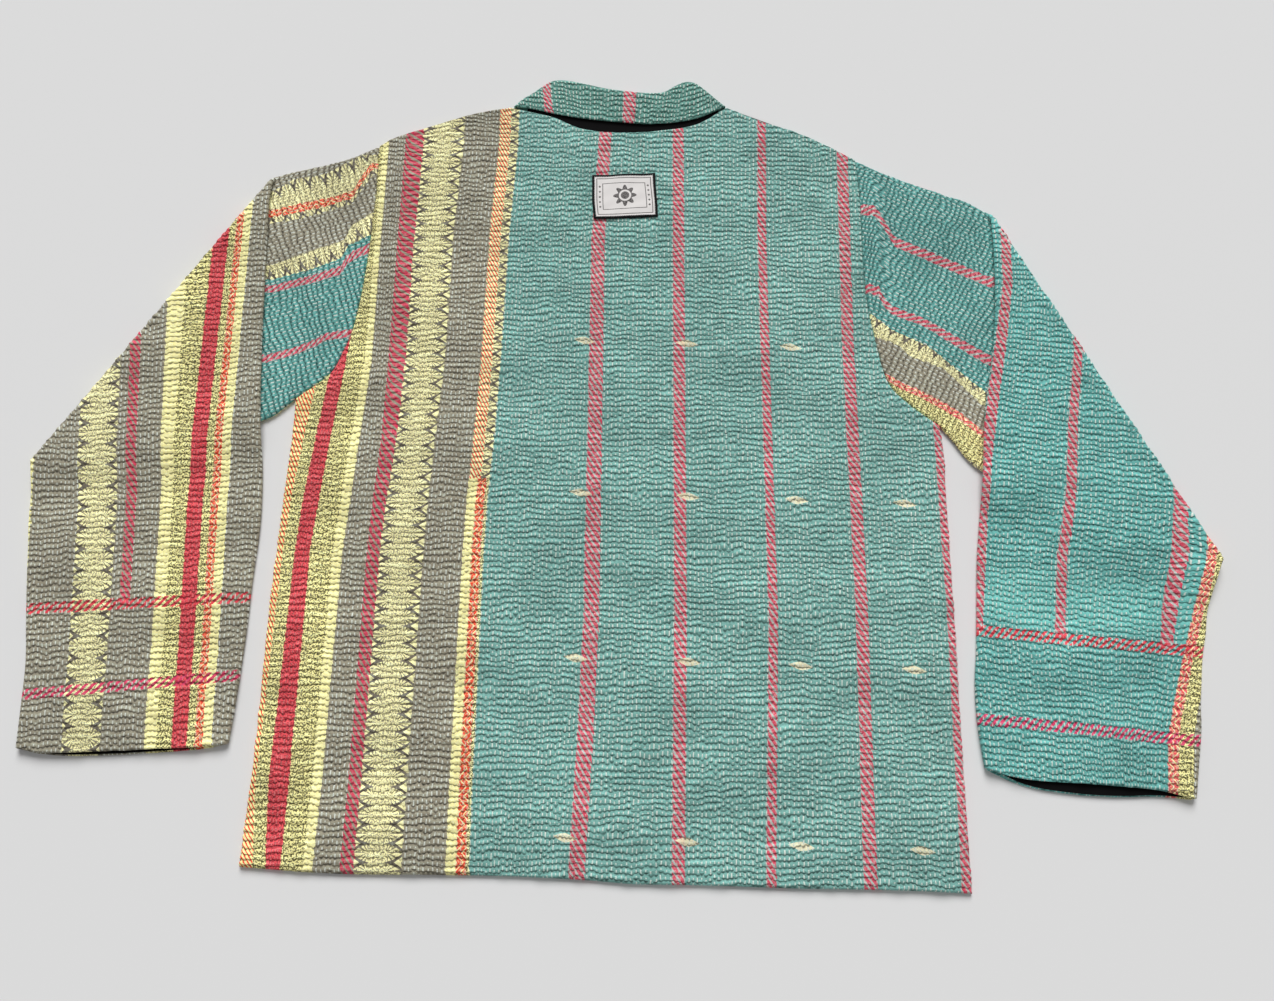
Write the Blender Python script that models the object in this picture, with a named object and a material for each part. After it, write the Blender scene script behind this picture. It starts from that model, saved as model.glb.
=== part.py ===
"""A hand-quilted cotton jacket, laid face down with its sleeves folded over, at real size in metres.

X runs across the jacket, Y from the hem to the collar, and Z up from the surface that it lies on.
The fronts lie on that surface and the back lies on them. Each sleeve is a flattened tube that is
folded over once on a slanting crease, so its lower part lies on its upper part and hangs down
beside the body. Sizes and tables are in millimetres, and the finished meshes in metres.
"""

import math

import bmesh
import bpy
from mathutils import Vector
from mathutils.geometry import delaunay_2d_cdt

MM = 0.001

# Cloth: layers of old cotton quilted together
CLOTH = 2.1            # thickness of the quilted cloth between two ridges
HOLLOW = 0.4           # air left between the two layers of the laid garment
LAYER = CLOTH + HOLLOW             # level of the upper layer's underside
FLAT_HEIGHT = LAYER + CLOTH        # two layers of cloth
SEAM_GAP = 0.3         # pieces are this far apart at their seams
HEM_SOFTENING = 0.7    # a cut edge is bevelled by this much
THIN_SOFTENING = 0.2   # the same on thin cotton
LINING = 0.7           # thickness of plain black cotton

# Quilting: rows of running stitch draw the cloth up into ridges across the stitching
RIDGE_PITCH = 5.6
RIDGE_HEIGHT = 0.7
RIDGE_FADE = 5.0       # ridges stop this far inside a seam or an edge
RIDGE_WANDERS = ((0.8, 41, 0.0), (0.6, 17, 0.011))  # mm off line, mm along a ridge, change with the row

# Outlines
OUTLINE_STEP = 18.0    # spacing of the points along a long edge
NECK_STEP = 9.0        # and along the collar

# A sleeve's long edges are round: rows of points go from its top skin to its underside
EDGE_INSET = 3.0       # the round edge starts this far in
EDGE_SECTION = ((0.9, 0.84), (0.0, 0.5), (0.9, 0.16))  # mm in, share of the sleeve's height
INNER_INSET = 3.2      # the hollow's edge

# The sleeve's fold
FOLD_GAP = 1.2         # air between a sleeve's upper part and the part folded over it
FOLD_AXIS = FLAT_HEIGHT + FOLD_GAP / 2
FOLD_LENGTH = math.pi * 2.6        # cloth taken up by the half turn, half way through the sleeve
FOLD_FACETS = 6
RIDGES_AFTER_FOLD = 7.0
DROP = FLAT_HEIGHT + FOLD_GAP      # the folded part comes down this far, beside the upper part
DROP_CURVE = ((4, 0.0), (10, 0.06), (18, 0.32), (28, 0.68), (36, 0.94), (42, 1.0))  # mm past it, share

# Body outline: columns are x, y
BACK_NECK = (
    (-92, 337), (-65, 330), (-45, 320), (-25, 314.5), (5, 313), (25, 314), (55, 318), (75, 324), (99, 340))
SHOULDER_LEFT = ((-229, 298), (-215, 307), (-185, 318), (-145, 332), (-105, 340), (-92, 337))
SHOULDER_RIGHT = ((99, 340), (135, 324), (165, 313), (195, 298), (220, 283))
ARMHOLE_LEFT = (
    (-229, 298), (-229, 252), (-231, 202), (-235, 152), (-241, 112), (-249, 87), (-258, 68), (-274, 54),
    (-287, 44))
ARMHOLE_RIGHT = ((220, 283), (222, 242), (222, 152), (228, 102), (237, 60), (255, 38), (280, 18))
SIDE_LEFT = ((-287, 44), (-287, 22), (-288, -8), (-290, -48), (-294, -148), (-295, -248), (-299, -349))
SIDE_RIGHT = ((280, 18), (282, -8), (281, -48), (280, -148), (278, -248), (277, -369))
HEM_LEFT = ((-299, -349), (-225, -354), (-145, -355), (-85, -356), (-25, -359), (-6, -360.5))
HEM_RIGHT = ((-6, -360.5), (15, -362), (75, -363), (135, -365), (195, -366), (235, -367), (277, -369))
CENTRE_FRONT = (-6, 265)   # the fronts meet below this point

# Sleeves: columns are x, y. A "near" edge runs from the armhole to the crease, and a "far" edge from
# the crease to the cuff, as the folded part lies
SLEEVES = {
    "left": {
        "armhole": ARMHOLE_LEFT,
        "crease": ((-324.8, 256.4), (-505, -15)),
        "top_near": ((-229, 298), (-256, 285), (-279, 278), (-302, 272), (-317, 268)),
        "top_far": (
            (-326, 235), (-324, 188), (-321, 118), (-317, 51), (-313, 5), (-309, -41), (-308, -76),
            (-310, -120), (-311, -162), (-314, -219), (-317, -254)),
        "under_near": ((-287, 44), (-297, 35), (-314, 24), (-360, 14), (-430, 2), (-488, -9)),
        "under_far": (
            (-508, -32), (-507, -62), (-503.5, -93), (-499.5, -127), (-495, -161), (-491, -190),
            (-489, -219), (-488, -258)),
        "cuff": ((-317, -254), (-340, -257), (-380, -258.5), (-421, -260.5), (-461, -261.5), (-488, -258)),
        "stripes": -87.0,            # where the folded part's stripes point, in degrees from +X
        "drop_line": ((-314, 22), (-497, -12)),
        "cover_line": ((-327, 252), (-313, 10)),
        "under_layer_longer": 3.0,   # the cuff's lower layer shows past its upper one
    },
    "right": {
        "armhole": ARMHOLE_RIGHT,
        "crease": ((336, 226), (503.7, -100)),
        "top_near": ((220, 283), (243, 270.5), (261, 262.5), (284, 253.5), (306, 244.5), (325, 237)),
        "top_far": (
            (340.5, 190), (336.5, 128), (329.5, 80), (319.5, 32), (313, -23), (309, -59), (303, -102),
            (299, -145), (296, -178), (292.5, -207), (292, -239), (295, -274)),
        "under_near": ((280, 18), (290, 5), (312, -22), (360, -46), (430, -74), (488, -96)),
        "under_far": (
            (502, -118), (492.5, -144.5), (488, -165.5), (482.5, -186), (475.5, -227), (474, -239),
            (468, -267), (461.5, -298)),
        "cuff": ((295, -274), (325, -282), (365, -285), (409, -288.5), (432, -291), (461.5, -298)),
        "stripes": -96.0,
        "drop_line": ((312, -24), (504, -108)),
        "cover_line": ((341, 205), (309, -30)),
        "under_layer_longer": 9.0,
    },
}
SLEEVE_RIDGE_POINTS = 4
COVER_CLEARANCE = 1.0  # ridges stop this far before the part folded over them

# Cuffs: the folded part's layers stand apart to leave room for the lining, which shows between them
CUFF_OPEN = 1.9
CUFF_OPEN_FROM = 80.0  # the layers part over this stretch, measured back from the cuff
CUFF_OPEN_TO = 50.0
LINING_DEPTH = 42.0
LINING_INSET = 5.0
LINING_BACK = 1.0      # it stops this far inside the cuff's edge

# Collar: the roll is its upper edge, and the fall turns down over the black stand
COLLAR_ROLL = (
    (-103, 341), (-95, 349), (-85, 356), (-75, 364), (-67, 369), (-55, 370), (-35, 366), (-15, 361),
    (5, 358), (25, 356), (40, 357), (50, 363), (60, 368), (70, 367), (80, 359), (90, 349), (99, 341))
COLLAR_FALL_EDGE = (
    (-102, 340), (-85, 338), (-65, 333), (-45, 329), (-25, 326), (15, 322), (35, 322), (55, 324), (75, 329),
    (98, 340))
FALL_LEVEL = LAYER + LINING + 2 * SEAM_GAP
COLLAR_TOP = FALL_LEVEL + CLOTH
COLLAR_RIDGES = 5
ROLL_INSET = 2.2       # the roll's round edge starts this far in
ROLL_SECTION = ((0.55, 0.84), (0.0, 0.5), (0.55, 0.16), (ROLL_INSET, 0.0))  # mm in, share of the height
FALL_TIP = 1.2         # the fall's edge is softened over this width
WHOLE_RIDGE_WIDTH = 20.0   # ridges fade out where the fall is narrower
# The collar's ends turn under to the front, beside the neck opening
LEAF_LEFT = ((-104, 318), (-97, 285), (-80, 250), (-9.5, 268))
LEAF_RIGHT = ((-2.5, 268), (72, 250), (93, 285), (100, 318))
NECK_OPENING = ((22, 284), (40, 306), (22, 302), (-2, 300), (-32, 302), (-54, 306), (-36, 284))
STAND_BELOW_ROLL = 4.0

# Label: a patch sewn flat on the back, below the neck
LABEL_CENTRE = (3, 244)
LABEL_SIZE = (59.5, 46)
LABEL_TURN = 2.0       # degrees
LABEL_THICKNESS = 0.8


def smooth_curve(table, spacing):
    """Points about this far apart on a smooth curve through the table's points."""
    knots = [Vector(p) for p in table]
    knots = [2 * knots[0] - knots[1]] + knots + [2 * knots[-1] - knots[-2]]
    points = [knots[1]]
    for a, b, c, d in zip(knots, knots[1:], knots[2:], knots[3:]):
        steps = max(1, round((c - b).length / spacing))
        for i in range(1, steps + 1):
            t = i / steps
            cubic = 2 * b + (c - a) * t + (2 * a - 5 * b + 4 * c - d) * t**2 + (3 * b - a - 3 * c + d) * t**3
            points.append(cubic / 2)
    return points


def left_turn(direction):
    """The direction a quarter turn to the left of this one."""
    return Vector((-direction.y, direction.x))


def facing(direction, towards):
    """A unit vector across this direction, on the side that faces the other one."""
    side = left_turn(direction).normalized()
    return side if side.dot(towards) > 0 else -side


def heading(degrees):
    """The unit vector at this angle from +X."""
    return Vector((math.cos(math.radians(degrees)), math.sin(math.radians(degrees))))


def signed_area(points):
    """Twice the area inside an outline, positive where it runs anticlockwise."""
    return sum(p.cross(q) for p, q in zip(points, points[1:] + points[:1]))


def anticlockwise(points):
    """The same outline without repeated points, turned anticlockwise."""
    kept = [p for i, p in enumerate(points) if (p - points[i - 1]).length > 0.1]
    return kept if signed_area(kept) > 0 else kept[::-1]


def shrink(points, distance):
    """An anticlockwise outline moved inwards by the distance."""
    moved = []
    for i, point in enumerate(points):
        before = left_turn(point - points[i - 1]).normalized()
        after = left_turn(points[(i + 1) % len(points)] - point).normalized()
        bisector = (before + after).normalized()
        moved.append(point + bisector * distance / max(0.5, bisector.dot(after)))
    return moved


def widest_span(polygon, origin, direction):
    """The longest stretch inside the polygon of the line through origin, as two distances, or None."""
    side = left_turn(direction)
    crossings = []
    for p, q in zip(polygon, polygon[1:] + polygon[:1]):
        a = side.dot(p - origin)
        b = side.dot(q - origin)
        if (a > 0) != (b > 0):
            crossings.append(direction.dot(p + (q - p) * (a / (a - b)) - origin))
    crossings.sort()
    stretches = list(zip(crossings[::2], crossings[1::2]))
    return max(stretches, key=lambda stretch: stretch[1] - stretch[0], default=None)


def ridge_lines(outline, stitching, count, limits=()):
    """Crest and valley lines of the quilting, straight across its stitching: (height share, points).

    The lines keep clear of the outline, and in front of each limit, which is a point and a normal."""
    row = left_turn(stitching)
    field = shrink(anticlockwise(outline), RIDGE_FADE)
    levels = [stitching.dot(p) for p in field]
    half_pitch = RIDGE_PITCH / 2
    lines = []
    for i in range(int((max(levels) - min(levels)) / half_pitch)):
        level = min(levels) + (i + 0.5) * half_pitch
        origin = stitching * level
        span = widest_span(field, origin, row)
        if span is None:
            continue
        start, end = span
        for point, normal in limits:
            crossing = normal.dot(point - origin) / normal.dot(row)
            if normal.dot(row) > 0:
                start = max(start, crossing)
            else:
                end = min(end, crossing)
        if end - start < 4 * RIDGE_FADE:
            continue
        points = []
        for k in range(count):
            position = origin + row * (start + (end - start) * k / (count - 1))
            if 0 < k < count - 1:
                for amount, length, change in RIDGE_WANDERS:
                    position = position + stitching * amount * math.sin(position.x / length + level * change)
            points.append(position)
        lines.append((i % 2, points))
    return lines


def fill_skin(mesh, ring, height, lines=(), ridge=0.0, flip=False):
    """Triangles that fill a ring of vertices already in the mesh, with quilting lines inside it."""
    coordinates = [vertex.co.xy for vertex in ring]
    count = len(ring)
    around = list(range(count))
    if signed_area(coordinates) < 0:
        around.reverse()
    edges = []
    lifts = [0.0] * count
    for share, points in lines:
        first = len(coordinates)
        last = len(points) - 1
        coordinates += points
        lifts += [0.0] + [share * ridge] * (last - 1) + [0.0]
        edges += [(first + k, first + k + 1) for k in range(last)]
    positions, _, triangles, sources, _, owners = delaunay_2d_cdt(coordinates, edges, [around], 0, 1e-6, True)
    vertices = []
    for position, source in zip(positions, sources):
        if source[0] < count:
            vertices.append(ring[source[0]])
        else:
            vertices.append(mesh.verts.new((*position, height + lifts[source[0]])))
    for triangle, owner in zip(triangles, owners):
        if owner:
            corners = [vertices[i] for i in triangle]
            mesh.faces.new(corners[::-1] if flip else corners)


def strip(mesh, first, second, closed=False):
    """Four-sided faces between two rows of vertices of the same length."""
    count = len(first)
    for i in range(count if closed else count - 1):
        j = (i + 1) % count
        mesh.faces.new((first[i], first[j], second[j], second[i]))


def cut_across(mesh, point, normal):
    """Adds a row of vertices where an upright plane crosses the mesh."""
    geometry = mesh.verts[:] + mesh.edges[:] + mesh.faces[:]
    bmesh.ops.bisect_plane(mesh, geom=geometry, dist=1e-5, plane_co=(*point, 0), plane_no=(*normal, 0))


def finish(mesh, name, material):
    """Makes the mesh, which is in millimetres, an object in metres."""
    bmesh.ops.remove_doubles(mesh, verts=mesh.verts, dist=1e-5)
    bmesh.ops.recalc_face_normals(mesh, faces=mesh.faces)
    bmesh.ops.scale(mesh, vec=(MM, MM, MM), verts=mesh.verts)
    data = bpy.data.meshes.new(name)
    mesh.to_mesh(data)
    mesh.free()
    data.materials.append(material)
    item = bpy.data.objects.new(name, data)
    bpy.context.scene.collection.objects.link(item)


def make_material(name, colour, roughness):
    """A plain cloth material."""
    material = bpy.data.materials.new(name)
    material.use_nodes = True
    shader = material.node_tree.nodes["Principled BSDF"]
    shader.inputs["Base Color"].default_value = (*colour, 1.0)
    shader.inputs["Roughness"].default_value = roughness
    shader.inputs["Metallic"].default_value = 0.0
    return material


def make_panel(name, outline, low, high, softening, material, lines=()):
    """One flat piece of cloth with a softened upper edge. The outline runs anticlockwise."""
    mesh = bmesh.new()
    bottom = [mesh.verts.new((*p, low)) for p in outline]
    edge = [mesh.verts.new((*p, high - softening)) for p in outline]
    top = [mesh.verts.new((*p, high)) for p in shrink(outline, softening)]
    strip(mesh, bottom, edge, closed=True)
    strip(mesh, edge, top, closed=True)
    fill_skin(mesh, top, high, lines, RIDGE_HEIGHT)
    fill_skin(mesh, bottom, low, flip=True)
    finish(mesh, name, material)


def outline_from(tables):
    """One closed outline through several edge tables, a seam gap inside them."""
    points = [p for table in tables for p in smooth_curve(table, OUTLINE_STEP)]
    return shrink(anticlockwise(points), SEAM_GAP)


def make_back(material):
    """The whole back in one piece, from side seam to side seam."""
    outline = outline_from([
        ARMHOLE_LEFT, SIDE_LEFT, HEM_LEFT, HEM_RIGHT, SIDE_RIGHT[::-1], ARMHOLE_RIGHT[::-1],
        SHOULDER_RIGHT[::-1], BACK_NECK[::-1], SHOULDER_LEFT[::-1]])
    lines = ridge_lines(outline, heading(-90), count=7)
    make_panel("back", outline, LAYER, FLAT_HEIGHT, HEM_SOFTENING, material, lines)


def make_fronts(left_material, right_material):
    """The two fronts, which lie on the surface under the back and meet at the centre."""
    left = outline_from([
        ARMHOLE_LEFT, SIDE_LEFT, HEM_LEFT, (CENTRE_FRONT, LEAF_LEFT[3]), LEAF_LEFT[2:0:-1],
        (LEAF_LEFT[0], SHOULDER_LEFT[4]), SHOULDER_LEFT[4::-1]])
    right = outline_from([
        ARMHOLE_RIGHT, SIDE_RIGHT, HEM_RIGHT[::-1], (CENTRE_FRONT, LEAF_RIGHT[0]), LEAF_RIGHT[1:3],
        (LEAF_RIGHT[3], SHOULDER_RIGHT[0]), SHOULDER_RIGHT])
    make_panel("front_left", left, 0.0, CLOTH, HEM_SOFTENING, left_material)
    make_panel("front_right", right, 0.0, CLOTH, HEM_SOFTENING, right_material)


class Sleeve:
    """One sleeve's crease, its flat pattern, and how the pattern is folded over the crease."""

    def __init__(self, table):
        first, last = (Vector(p) for p in table["crease"])
        body = Vector(table["armhole"][len(table["armhole"]) // 2])
        self.start = first
        self.out = facing(last - first, first - body)
        self.hang = heading(table["stripes"])
        self.stitching = self.hang - 2 * self.out * self.out.dot(self.hang)
        self.drop_start, drop_end = (Vector(p) for p in table["drop_line"])
        self.drop_way = facing(drop_end - self.drop_start, Vector((0, -1)))
        self.top = self.long_edge(table["top_near"], table["top_far"])
        self.under = self.long_edge(table["under_near"], table["under_far"])
        self.armhole = smooth_curve(table["armhole"], OUTLINE_STEP)
        self.cuff = [self.unfold(p) for p in smooth_curve(table["cuff"], OUTLINE_STEP)]

    def beyond(self, point):
        """How far a point of the flat pattern lies past the crease."""
        return self.out.dot(point - self.start)

    def unfold(self, point):
        """Where a point of the folded part lies in the flat pattern."""
        return point + self.out * (FOLD_LENGTH - 2 * self.beyond(point))

    def long_edge(self, near, far):
        """One long edge of the flat pattern, from the armhole to the cuff."""
        return smooth_curve(list(near) + [self.unfold(Vector(p)) for p in far], OUTLINE_STEP)

    def fold(self, position):
        """A point of the flat pattern, in three dimensions, turned over the crease."""
        past = self.beyond(position.xy)
        if past <= 0:
            return position
        turn = math.pi * min(1.0, past / FOLD_LENGTH)
        radius = FOLD_AXIS - position.z
        reach = radius * math.sin(turn) - max(0.0, past - FOLD_LENGTH)
        flat = position.xy + self.out * (reach - past)
        return Vector((*flat, FOLD_AXIS - radius * math.cos(turn)))

    def drop(self, flat):
        """How far the folded part has come down, past the edge of the part that it lies on."""
        past = self.drop_way.dot(flat - self.drop_start)
        for (near, low), (far, high) in zip(DROP_CURVE, DROP_CURVE[1:]):
            if past < far:
                return DROP * (low + (high - low) * max(0.0, past - near) / (far - near))
        return DROP


def edge_normals(points, towards, seam, cuff):
    """Unit normals of a long edge, on the side of a point; the ends follow the armhole and the cuff."""
    last = len(points) - 1
    normals = [seam.normalized()]
    for i in range(1, last):
        opposite = towards[i * len(towards) // (last + 1)]
        normals.append(facing(points[i + 1] - points[i - 1], opposite - points[i]))
    normals.append(cuff.normalized())
    return normals


def make_sleeve(name, table, material):
    """A flattened tube, open at the armhole and the cuff, folded over once on its crease."""
    sleeve = Sleeve(table)
    mesh = bmesh.new()
    edges = []
    for edge, other, k, step in ((sleeve.top, sleeve.under, 0, 1), (sleeve.under, sleeve.top, -1, -1)):
        seam = sleeve.armhole[k + step] - sleeve.armhole[k]
        cuff = sleeve.cuff[k + step] - sleeve.cuff[k]
        edges.append((edge, edge_normals(edge, other, seam, cuff)))

    def edge_row(edge, inset, height):
        """Vertices along a long edge, moved in by the inset."""
        return [mesh.verts.new((*(p + n * inset), height)) for p, n in zip(*edge)]

    def boundary(inset, height, longer):
        """A skin's boundary: top edge, underarm edge, armhole and cuff."""
        top, under = (edge_row(edge, inset, height) for edge in edges)
        armhole = [mesh.verts.new((*p, height)) for p in sleeve.armhole[1:-1]]
        cuff = []
        last = len(sleeve.cuff) - 1
        for i in range(1, last):
            past = sleeve.stitching * longer * math.sin(math.pi * i / last)
            cuff.append(mesh.verts.new((*(sleeve.cuff[i] + past), height)))
        return top, under, [top[0], *armhole, under[0]], [top[-1], *cuff, under[-1]]

    def ring(skin):
        """The boundary as one closed ring."""
        top, under, armhole, cuff = skin
        return top[:-1] + cuff + under[-2:0:-1] + armhole[:0:-1]

    longer = table["under_layer_longer"]
    outer_low = boundary(EDGE_INSET, 0.0, 0.0)
    outer_high = boundary(EDGE_INSET, FLAT_HEIGHT, longer)
    inner_low = boundary(INNER_INSET, CLOTH, 0.0)
    inner_high = boundary(INNER_INSET, LAYER, longer)

    # Ridges are raised only where the skin shows: past the fold on one side, and before it on the other
    pattern = [vertex.co.xy for vertex in ring(outer_low)]
    after_fold = (sleeve.start + sleeve.out * (FOLD_LENGTH + RIDGES_AFTER_FOLD), sleeve.out)
    cover_start, cover_end = (Vector(p) for p in table["cover_line"])
    uncovered = facing(cover_end - cover_start, sleeve.armhole[0] - cover_start)
    before_cover = (cover_start + uncovered * COVER_CLEARANCE, uncovered)
    folded_ridges = ridge_lines(pattern, sleeve.stitching, SLEEVE_RIDGE_POINTS, [after_fold])
    upper_ridges = ridge_lines(pattern, sleeve.stitching, SLEEVE_RIDGE_POINTS, [before_cover])
    upper_ridges = [line for line in upper_ridges if max(map(sleeve.beyond, line[1])) < -COVER_CLEARANCE]

    fill_skin(mesh, ring(outer_low), 0.0, folded_ridges, -RIDGE_HEIGHT, flip=True)
    fill_skin(mesh, ring(outer_high), FLAT_HEIGHT, upper_ridges, RIDGE_HEIGHT)
    fill_skin(mesh, ring(inner_low), CLOTH)
    fill_skin(mesh, ring(inner_high), LAYER, flip=True)

    rounds = []
    for side, edge in enumerate(edges):
        middle = [edge_row(edge, inset, FLAT_HEIGHT * share) for inset, share in EDGE_SECTION]
        rows = [outer_high[side], *middle, outer_low[side]]
        for above, below in zip(rows, rows[1:]):
            strip(mesh, above, below)
        strip(mesh, inner_low[side], inner_high[side])
        rounds.append(rows)
    for end, opening in ((0, 2), (-1, 3)):
        for side, rows in enumerate(rounds):
            mesh.faces.new([row[end] for row in rows] + [inner_low[side][end], inner_high[side][end]])
        strip(mesh, outer_low[opening], inner_low[opening])
        strip(mesh, outer_high[opening], inner_high[opening])

    for k in range(FOLD_FACETS + 1):
        cut_across(mesh, sleeve.start + sleeve.out * (FOLD_LENGTH * k / FOLD_FACETS), sleeve.out)
    open_cuff(mesh, sleeve)
    for vertex in mesh.verts:
        vertex.co = sleeve.fold(vertex.co)
    lower_past_edge(mesh, sleeve)
    finish(mesh, name, material)


def open_cuff(mesh, sleeve):
    """Lets the layer that ends on top stand off at the cuff, to leave room for the lining."""
    level = max(sleeve.stitching.dot(p) for p in sleeve.cuff)
    for back in (CUFF_OPEN_FROM, CUFF_OPEN_TO):
        cut_across(mesh, sleeve.stitching * (level - back), sleeve.stitching)
    for vertex in mesh.verts:
        past = sleeve.stitching.dot(vertex.co.xy) - (level - CUFF_OPEN_FROM)
        share = min(1.0, max(0.0, past / (CUFF_OPEN_FROM - CUFF_OPEN_TO)))
        if vertex.co.z < FLAT_HEIGHT * 0.51:
            vertex.co.z -= CUFF_OPEN * share


def lower_past_edge(mesh, sleeve):
    """The folded part comes down to the surface past the edge of the part that it lies on."""
    for distance, _ in DROP_CURVE:
        cut_across(mesh, sleeve.drop_start + sleeve.drop_way * distance, sleeve.drop_way)
    for vertex in mesh.verts:
        if vertex.co.z > FOLD_AXIS:
            vertex.co.z -= sleeve.drop(vertex.co.xy)


def make_cuff_lining(name, table, material):
    """A strip of black cotton on the inner face of the cuff's lower layer."""
    hang = heading(table["stripes"])
    cuff = smooth_curve(table["cuff"], OUTLINE_STEP)
    row = (cuff[-1] - cuff[0]).normalized()
    last = len(cuff) - 1
    lower = []
    for i, p in enumerate(cuff):
        past = table["under_layer_longer"] * math.sin(math.pi * i / last) - LINING_BACK
        lower.append(p + row * LINING_INSET * (1 - 2 * i / last) + hang * past)
    upper = [p - hang * LINING_DEPTH for p in reversed(lower)]
    low = CLOTH + SEAM_GAP
    make_panel(name, anticlockwise(lower + upper), low, low + LINING, THIN_SOFTENING, material)


def collar_section(crest, edge):
    """One section of the collar, from the fall's edge over the roll to the underside: (point, height).

    The last two are the inner face, under the roll and under the fall's edge."""
    width = (edge - crest).length
    down = (edge - crest).normalized()
    inset = min(ROLL_INSET, width * 0.45)
    ridge = RIDGE_HEIGHT * min(1.0, width / WHOLE_RIDGE_WIDTH)
    section = [(width - 0.5, FALL_LEVEL), (width, FALL_LEVEL + THIN_SOFTENING * 4)]
    count = COLLAR_RIDGES * 2 + 1
    for k in range(count + 1):
        along = width - FALL_TIP - (width - FALL_TIP - inset) * k / count
        section.append((along, COLLAR_TOP + (ridge if k % 2 and k < count else 0.0)))
    section += [(inset * inward / ROLL_INSET, COLLAR_TOP * share) for inward, share in ROLL_SECTION]
    inner = min(CLOTH + HOLLOW, width * 0.8)
    section += [(inner, CLOTH), (inner, FALL_LEVEL)]
    return [(crest + down * along, height) for along, height in section]


def make_collar(material):
    """The collar: its fall on the back, turned over the roll, and its ends turned under to the front."""
    mesh = bmesh.new()
    roll = smooth_curve(COLLAR_ROLL, NECK_STEP)
    fall = smooth_curve(COLLAR_FALL_EDGE, NECK_STEP / 3)
    rows = []
    for i, crest in enumerate(roll):
        matching = fall[round(i / (len(roll) - 1) * (len(fall) - 1))]
        edge = min(fall, key=lambda p: (p - crest).length + (p - matching).length / 3)
        rows.append([mesh.verts.new((*p, z)) for p, z in collar_section(crest, edge)])
    for a, b in zip(rows, rows[1:]):
        strip(mesh, a[:-2], b[:-2])
        mesh.faces.new((a[-1], b[-1], b[0], a[0]))
        mesh.faces.new((a[-2], b[-2], b[-1], a[-1]))
    front = [Vector(p) for p in LEAF_RIGHT[::-1] + NECK_OPENING + LEAF_LEFT[::-1]]
    low = [mesh.verts.new((*p, 0.0)) for p in front]
    high = [mesh.verts.new((*p, CLOTH)) for p in front]
    fill_skin(mesh, [row[-3] for row in rows] + low, 0.0, flip=True)
    fill_skin(mesh, [row[-2] for row in rows] + high, CLOTH)
    strip(mesh, low, high)
    for row, end in ((rows[-1], 0), (rows[0], -1)):
        mesh.faces.new([*row[:-2], low[end], high[end], *row[-2:]])
    finish(mesh, "collar", material)


def make_stand(material):
    """The black stand, between the neck seam and the roll, under the fall."""
    neck = smooth_curve(BACK_NECK, OUTLINE_STEP)[1:-1]
    roll = [p for p in smooth_curve(COLLAR_ROLL, NECK_STEP) if neck[0].x < p.x < neck[-1].x]
    lower = [p + Vector((0, 2 * SEAM_GAP)) for p in neck]
    upper = [p - Vector((0, STAND_BELOW_ROLL)) for p in reversed(roll)]
    make_panel("collar_stand", anticlockwise(lower + upper), LAYER, LAYER + LINING, THIN_SOFTENING, material)


def make_label(material):
    """A bare patch, flat on the ridges of the back."""
    across = heading(LABEL_TURN) * LABEL_SIZE[0] / 2
    up = heading(LABEL_TURN + 90) * LABEL_SIZE[1] / 2
    corners = [Vector(LABEL_CENTRE) + across * x + up * y for x, y in ((-1, -1), (1, -1), (1, 1), (-1, 1))]
    low = FLAT_HEIGHT + RIDGE_HEIGHT + SEAM_GAP
    make_panel("label", corners, low, low + LABEL_THICKNESS, THIN_SOFTENING, material)


for old in list(bpy.data.objects):
    bpy.data.objects.remove(old)

teal_quilt = make_material("quilted_cotton_teal", (0.10, 0.30, 0.28), 0.95)
striped_quilt = make_material("quilted_cotton_striped", (0.42, 0.36, 0.20), 0.95)
black_cotton = make_material("black_cotton", (0.012, 0.012, 0.014), 0.9)
label_cotton = make_material("woven_label", (0.72, 0.70, 0.66), 0.85)

make_back(teal_quilt)
make_fronts(striped_quilt, teal_quilt)
make_sleeve("sleeve_left", SLEEVES["left"], striped_quilt)
make_sleeve("sleeve_right", SLEEVES["right"], teal_quilt)
make_cuff_lining("cuff_lining_left", SLEEVES["left"], black_cotton)
make_cuff_lining("cuff_lining_right", SLEEVES["right"], black_cotton)
make_collar(teal_quilt)
make_stand(black_cotton)
make_label(label_cotton)
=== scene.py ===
import math
from functools import partial

import bmesh
import bpy
import numpy as np
from mathutils import Matrix, Vector


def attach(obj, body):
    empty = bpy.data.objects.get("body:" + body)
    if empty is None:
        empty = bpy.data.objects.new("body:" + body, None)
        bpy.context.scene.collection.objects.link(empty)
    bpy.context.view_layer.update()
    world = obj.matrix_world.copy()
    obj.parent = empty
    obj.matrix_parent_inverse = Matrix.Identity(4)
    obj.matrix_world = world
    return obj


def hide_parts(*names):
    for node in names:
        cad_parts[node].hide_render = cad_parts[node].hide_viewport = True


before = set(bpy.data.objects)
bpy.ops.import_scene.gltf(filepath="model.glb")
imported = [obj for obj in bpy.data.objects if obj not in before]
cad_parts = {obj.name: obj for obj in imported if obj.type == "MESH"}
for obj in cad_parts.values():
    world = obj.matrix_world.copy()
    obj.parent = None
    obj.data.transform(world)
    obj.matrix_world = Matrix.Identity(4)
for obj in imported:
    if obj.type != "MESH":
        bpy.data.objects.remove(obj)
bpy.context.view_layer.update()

# The back. One quilted panel from side seam to side seam, pieced from a banded cloth and a teal one.
# It is old cotton in layers, sewn through by hand with rows of running stitch that pucker it into
# fine ridges, and it lies on the fronts. Lengths are in millimetres until a mesh is finished.
MM = 0.001
CLOTH = 2.1            # the quilted cloth's thickness
HOLLOW = 0.4           # air between two layers
LAYER = CLOTH + HOLLOW
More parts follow.
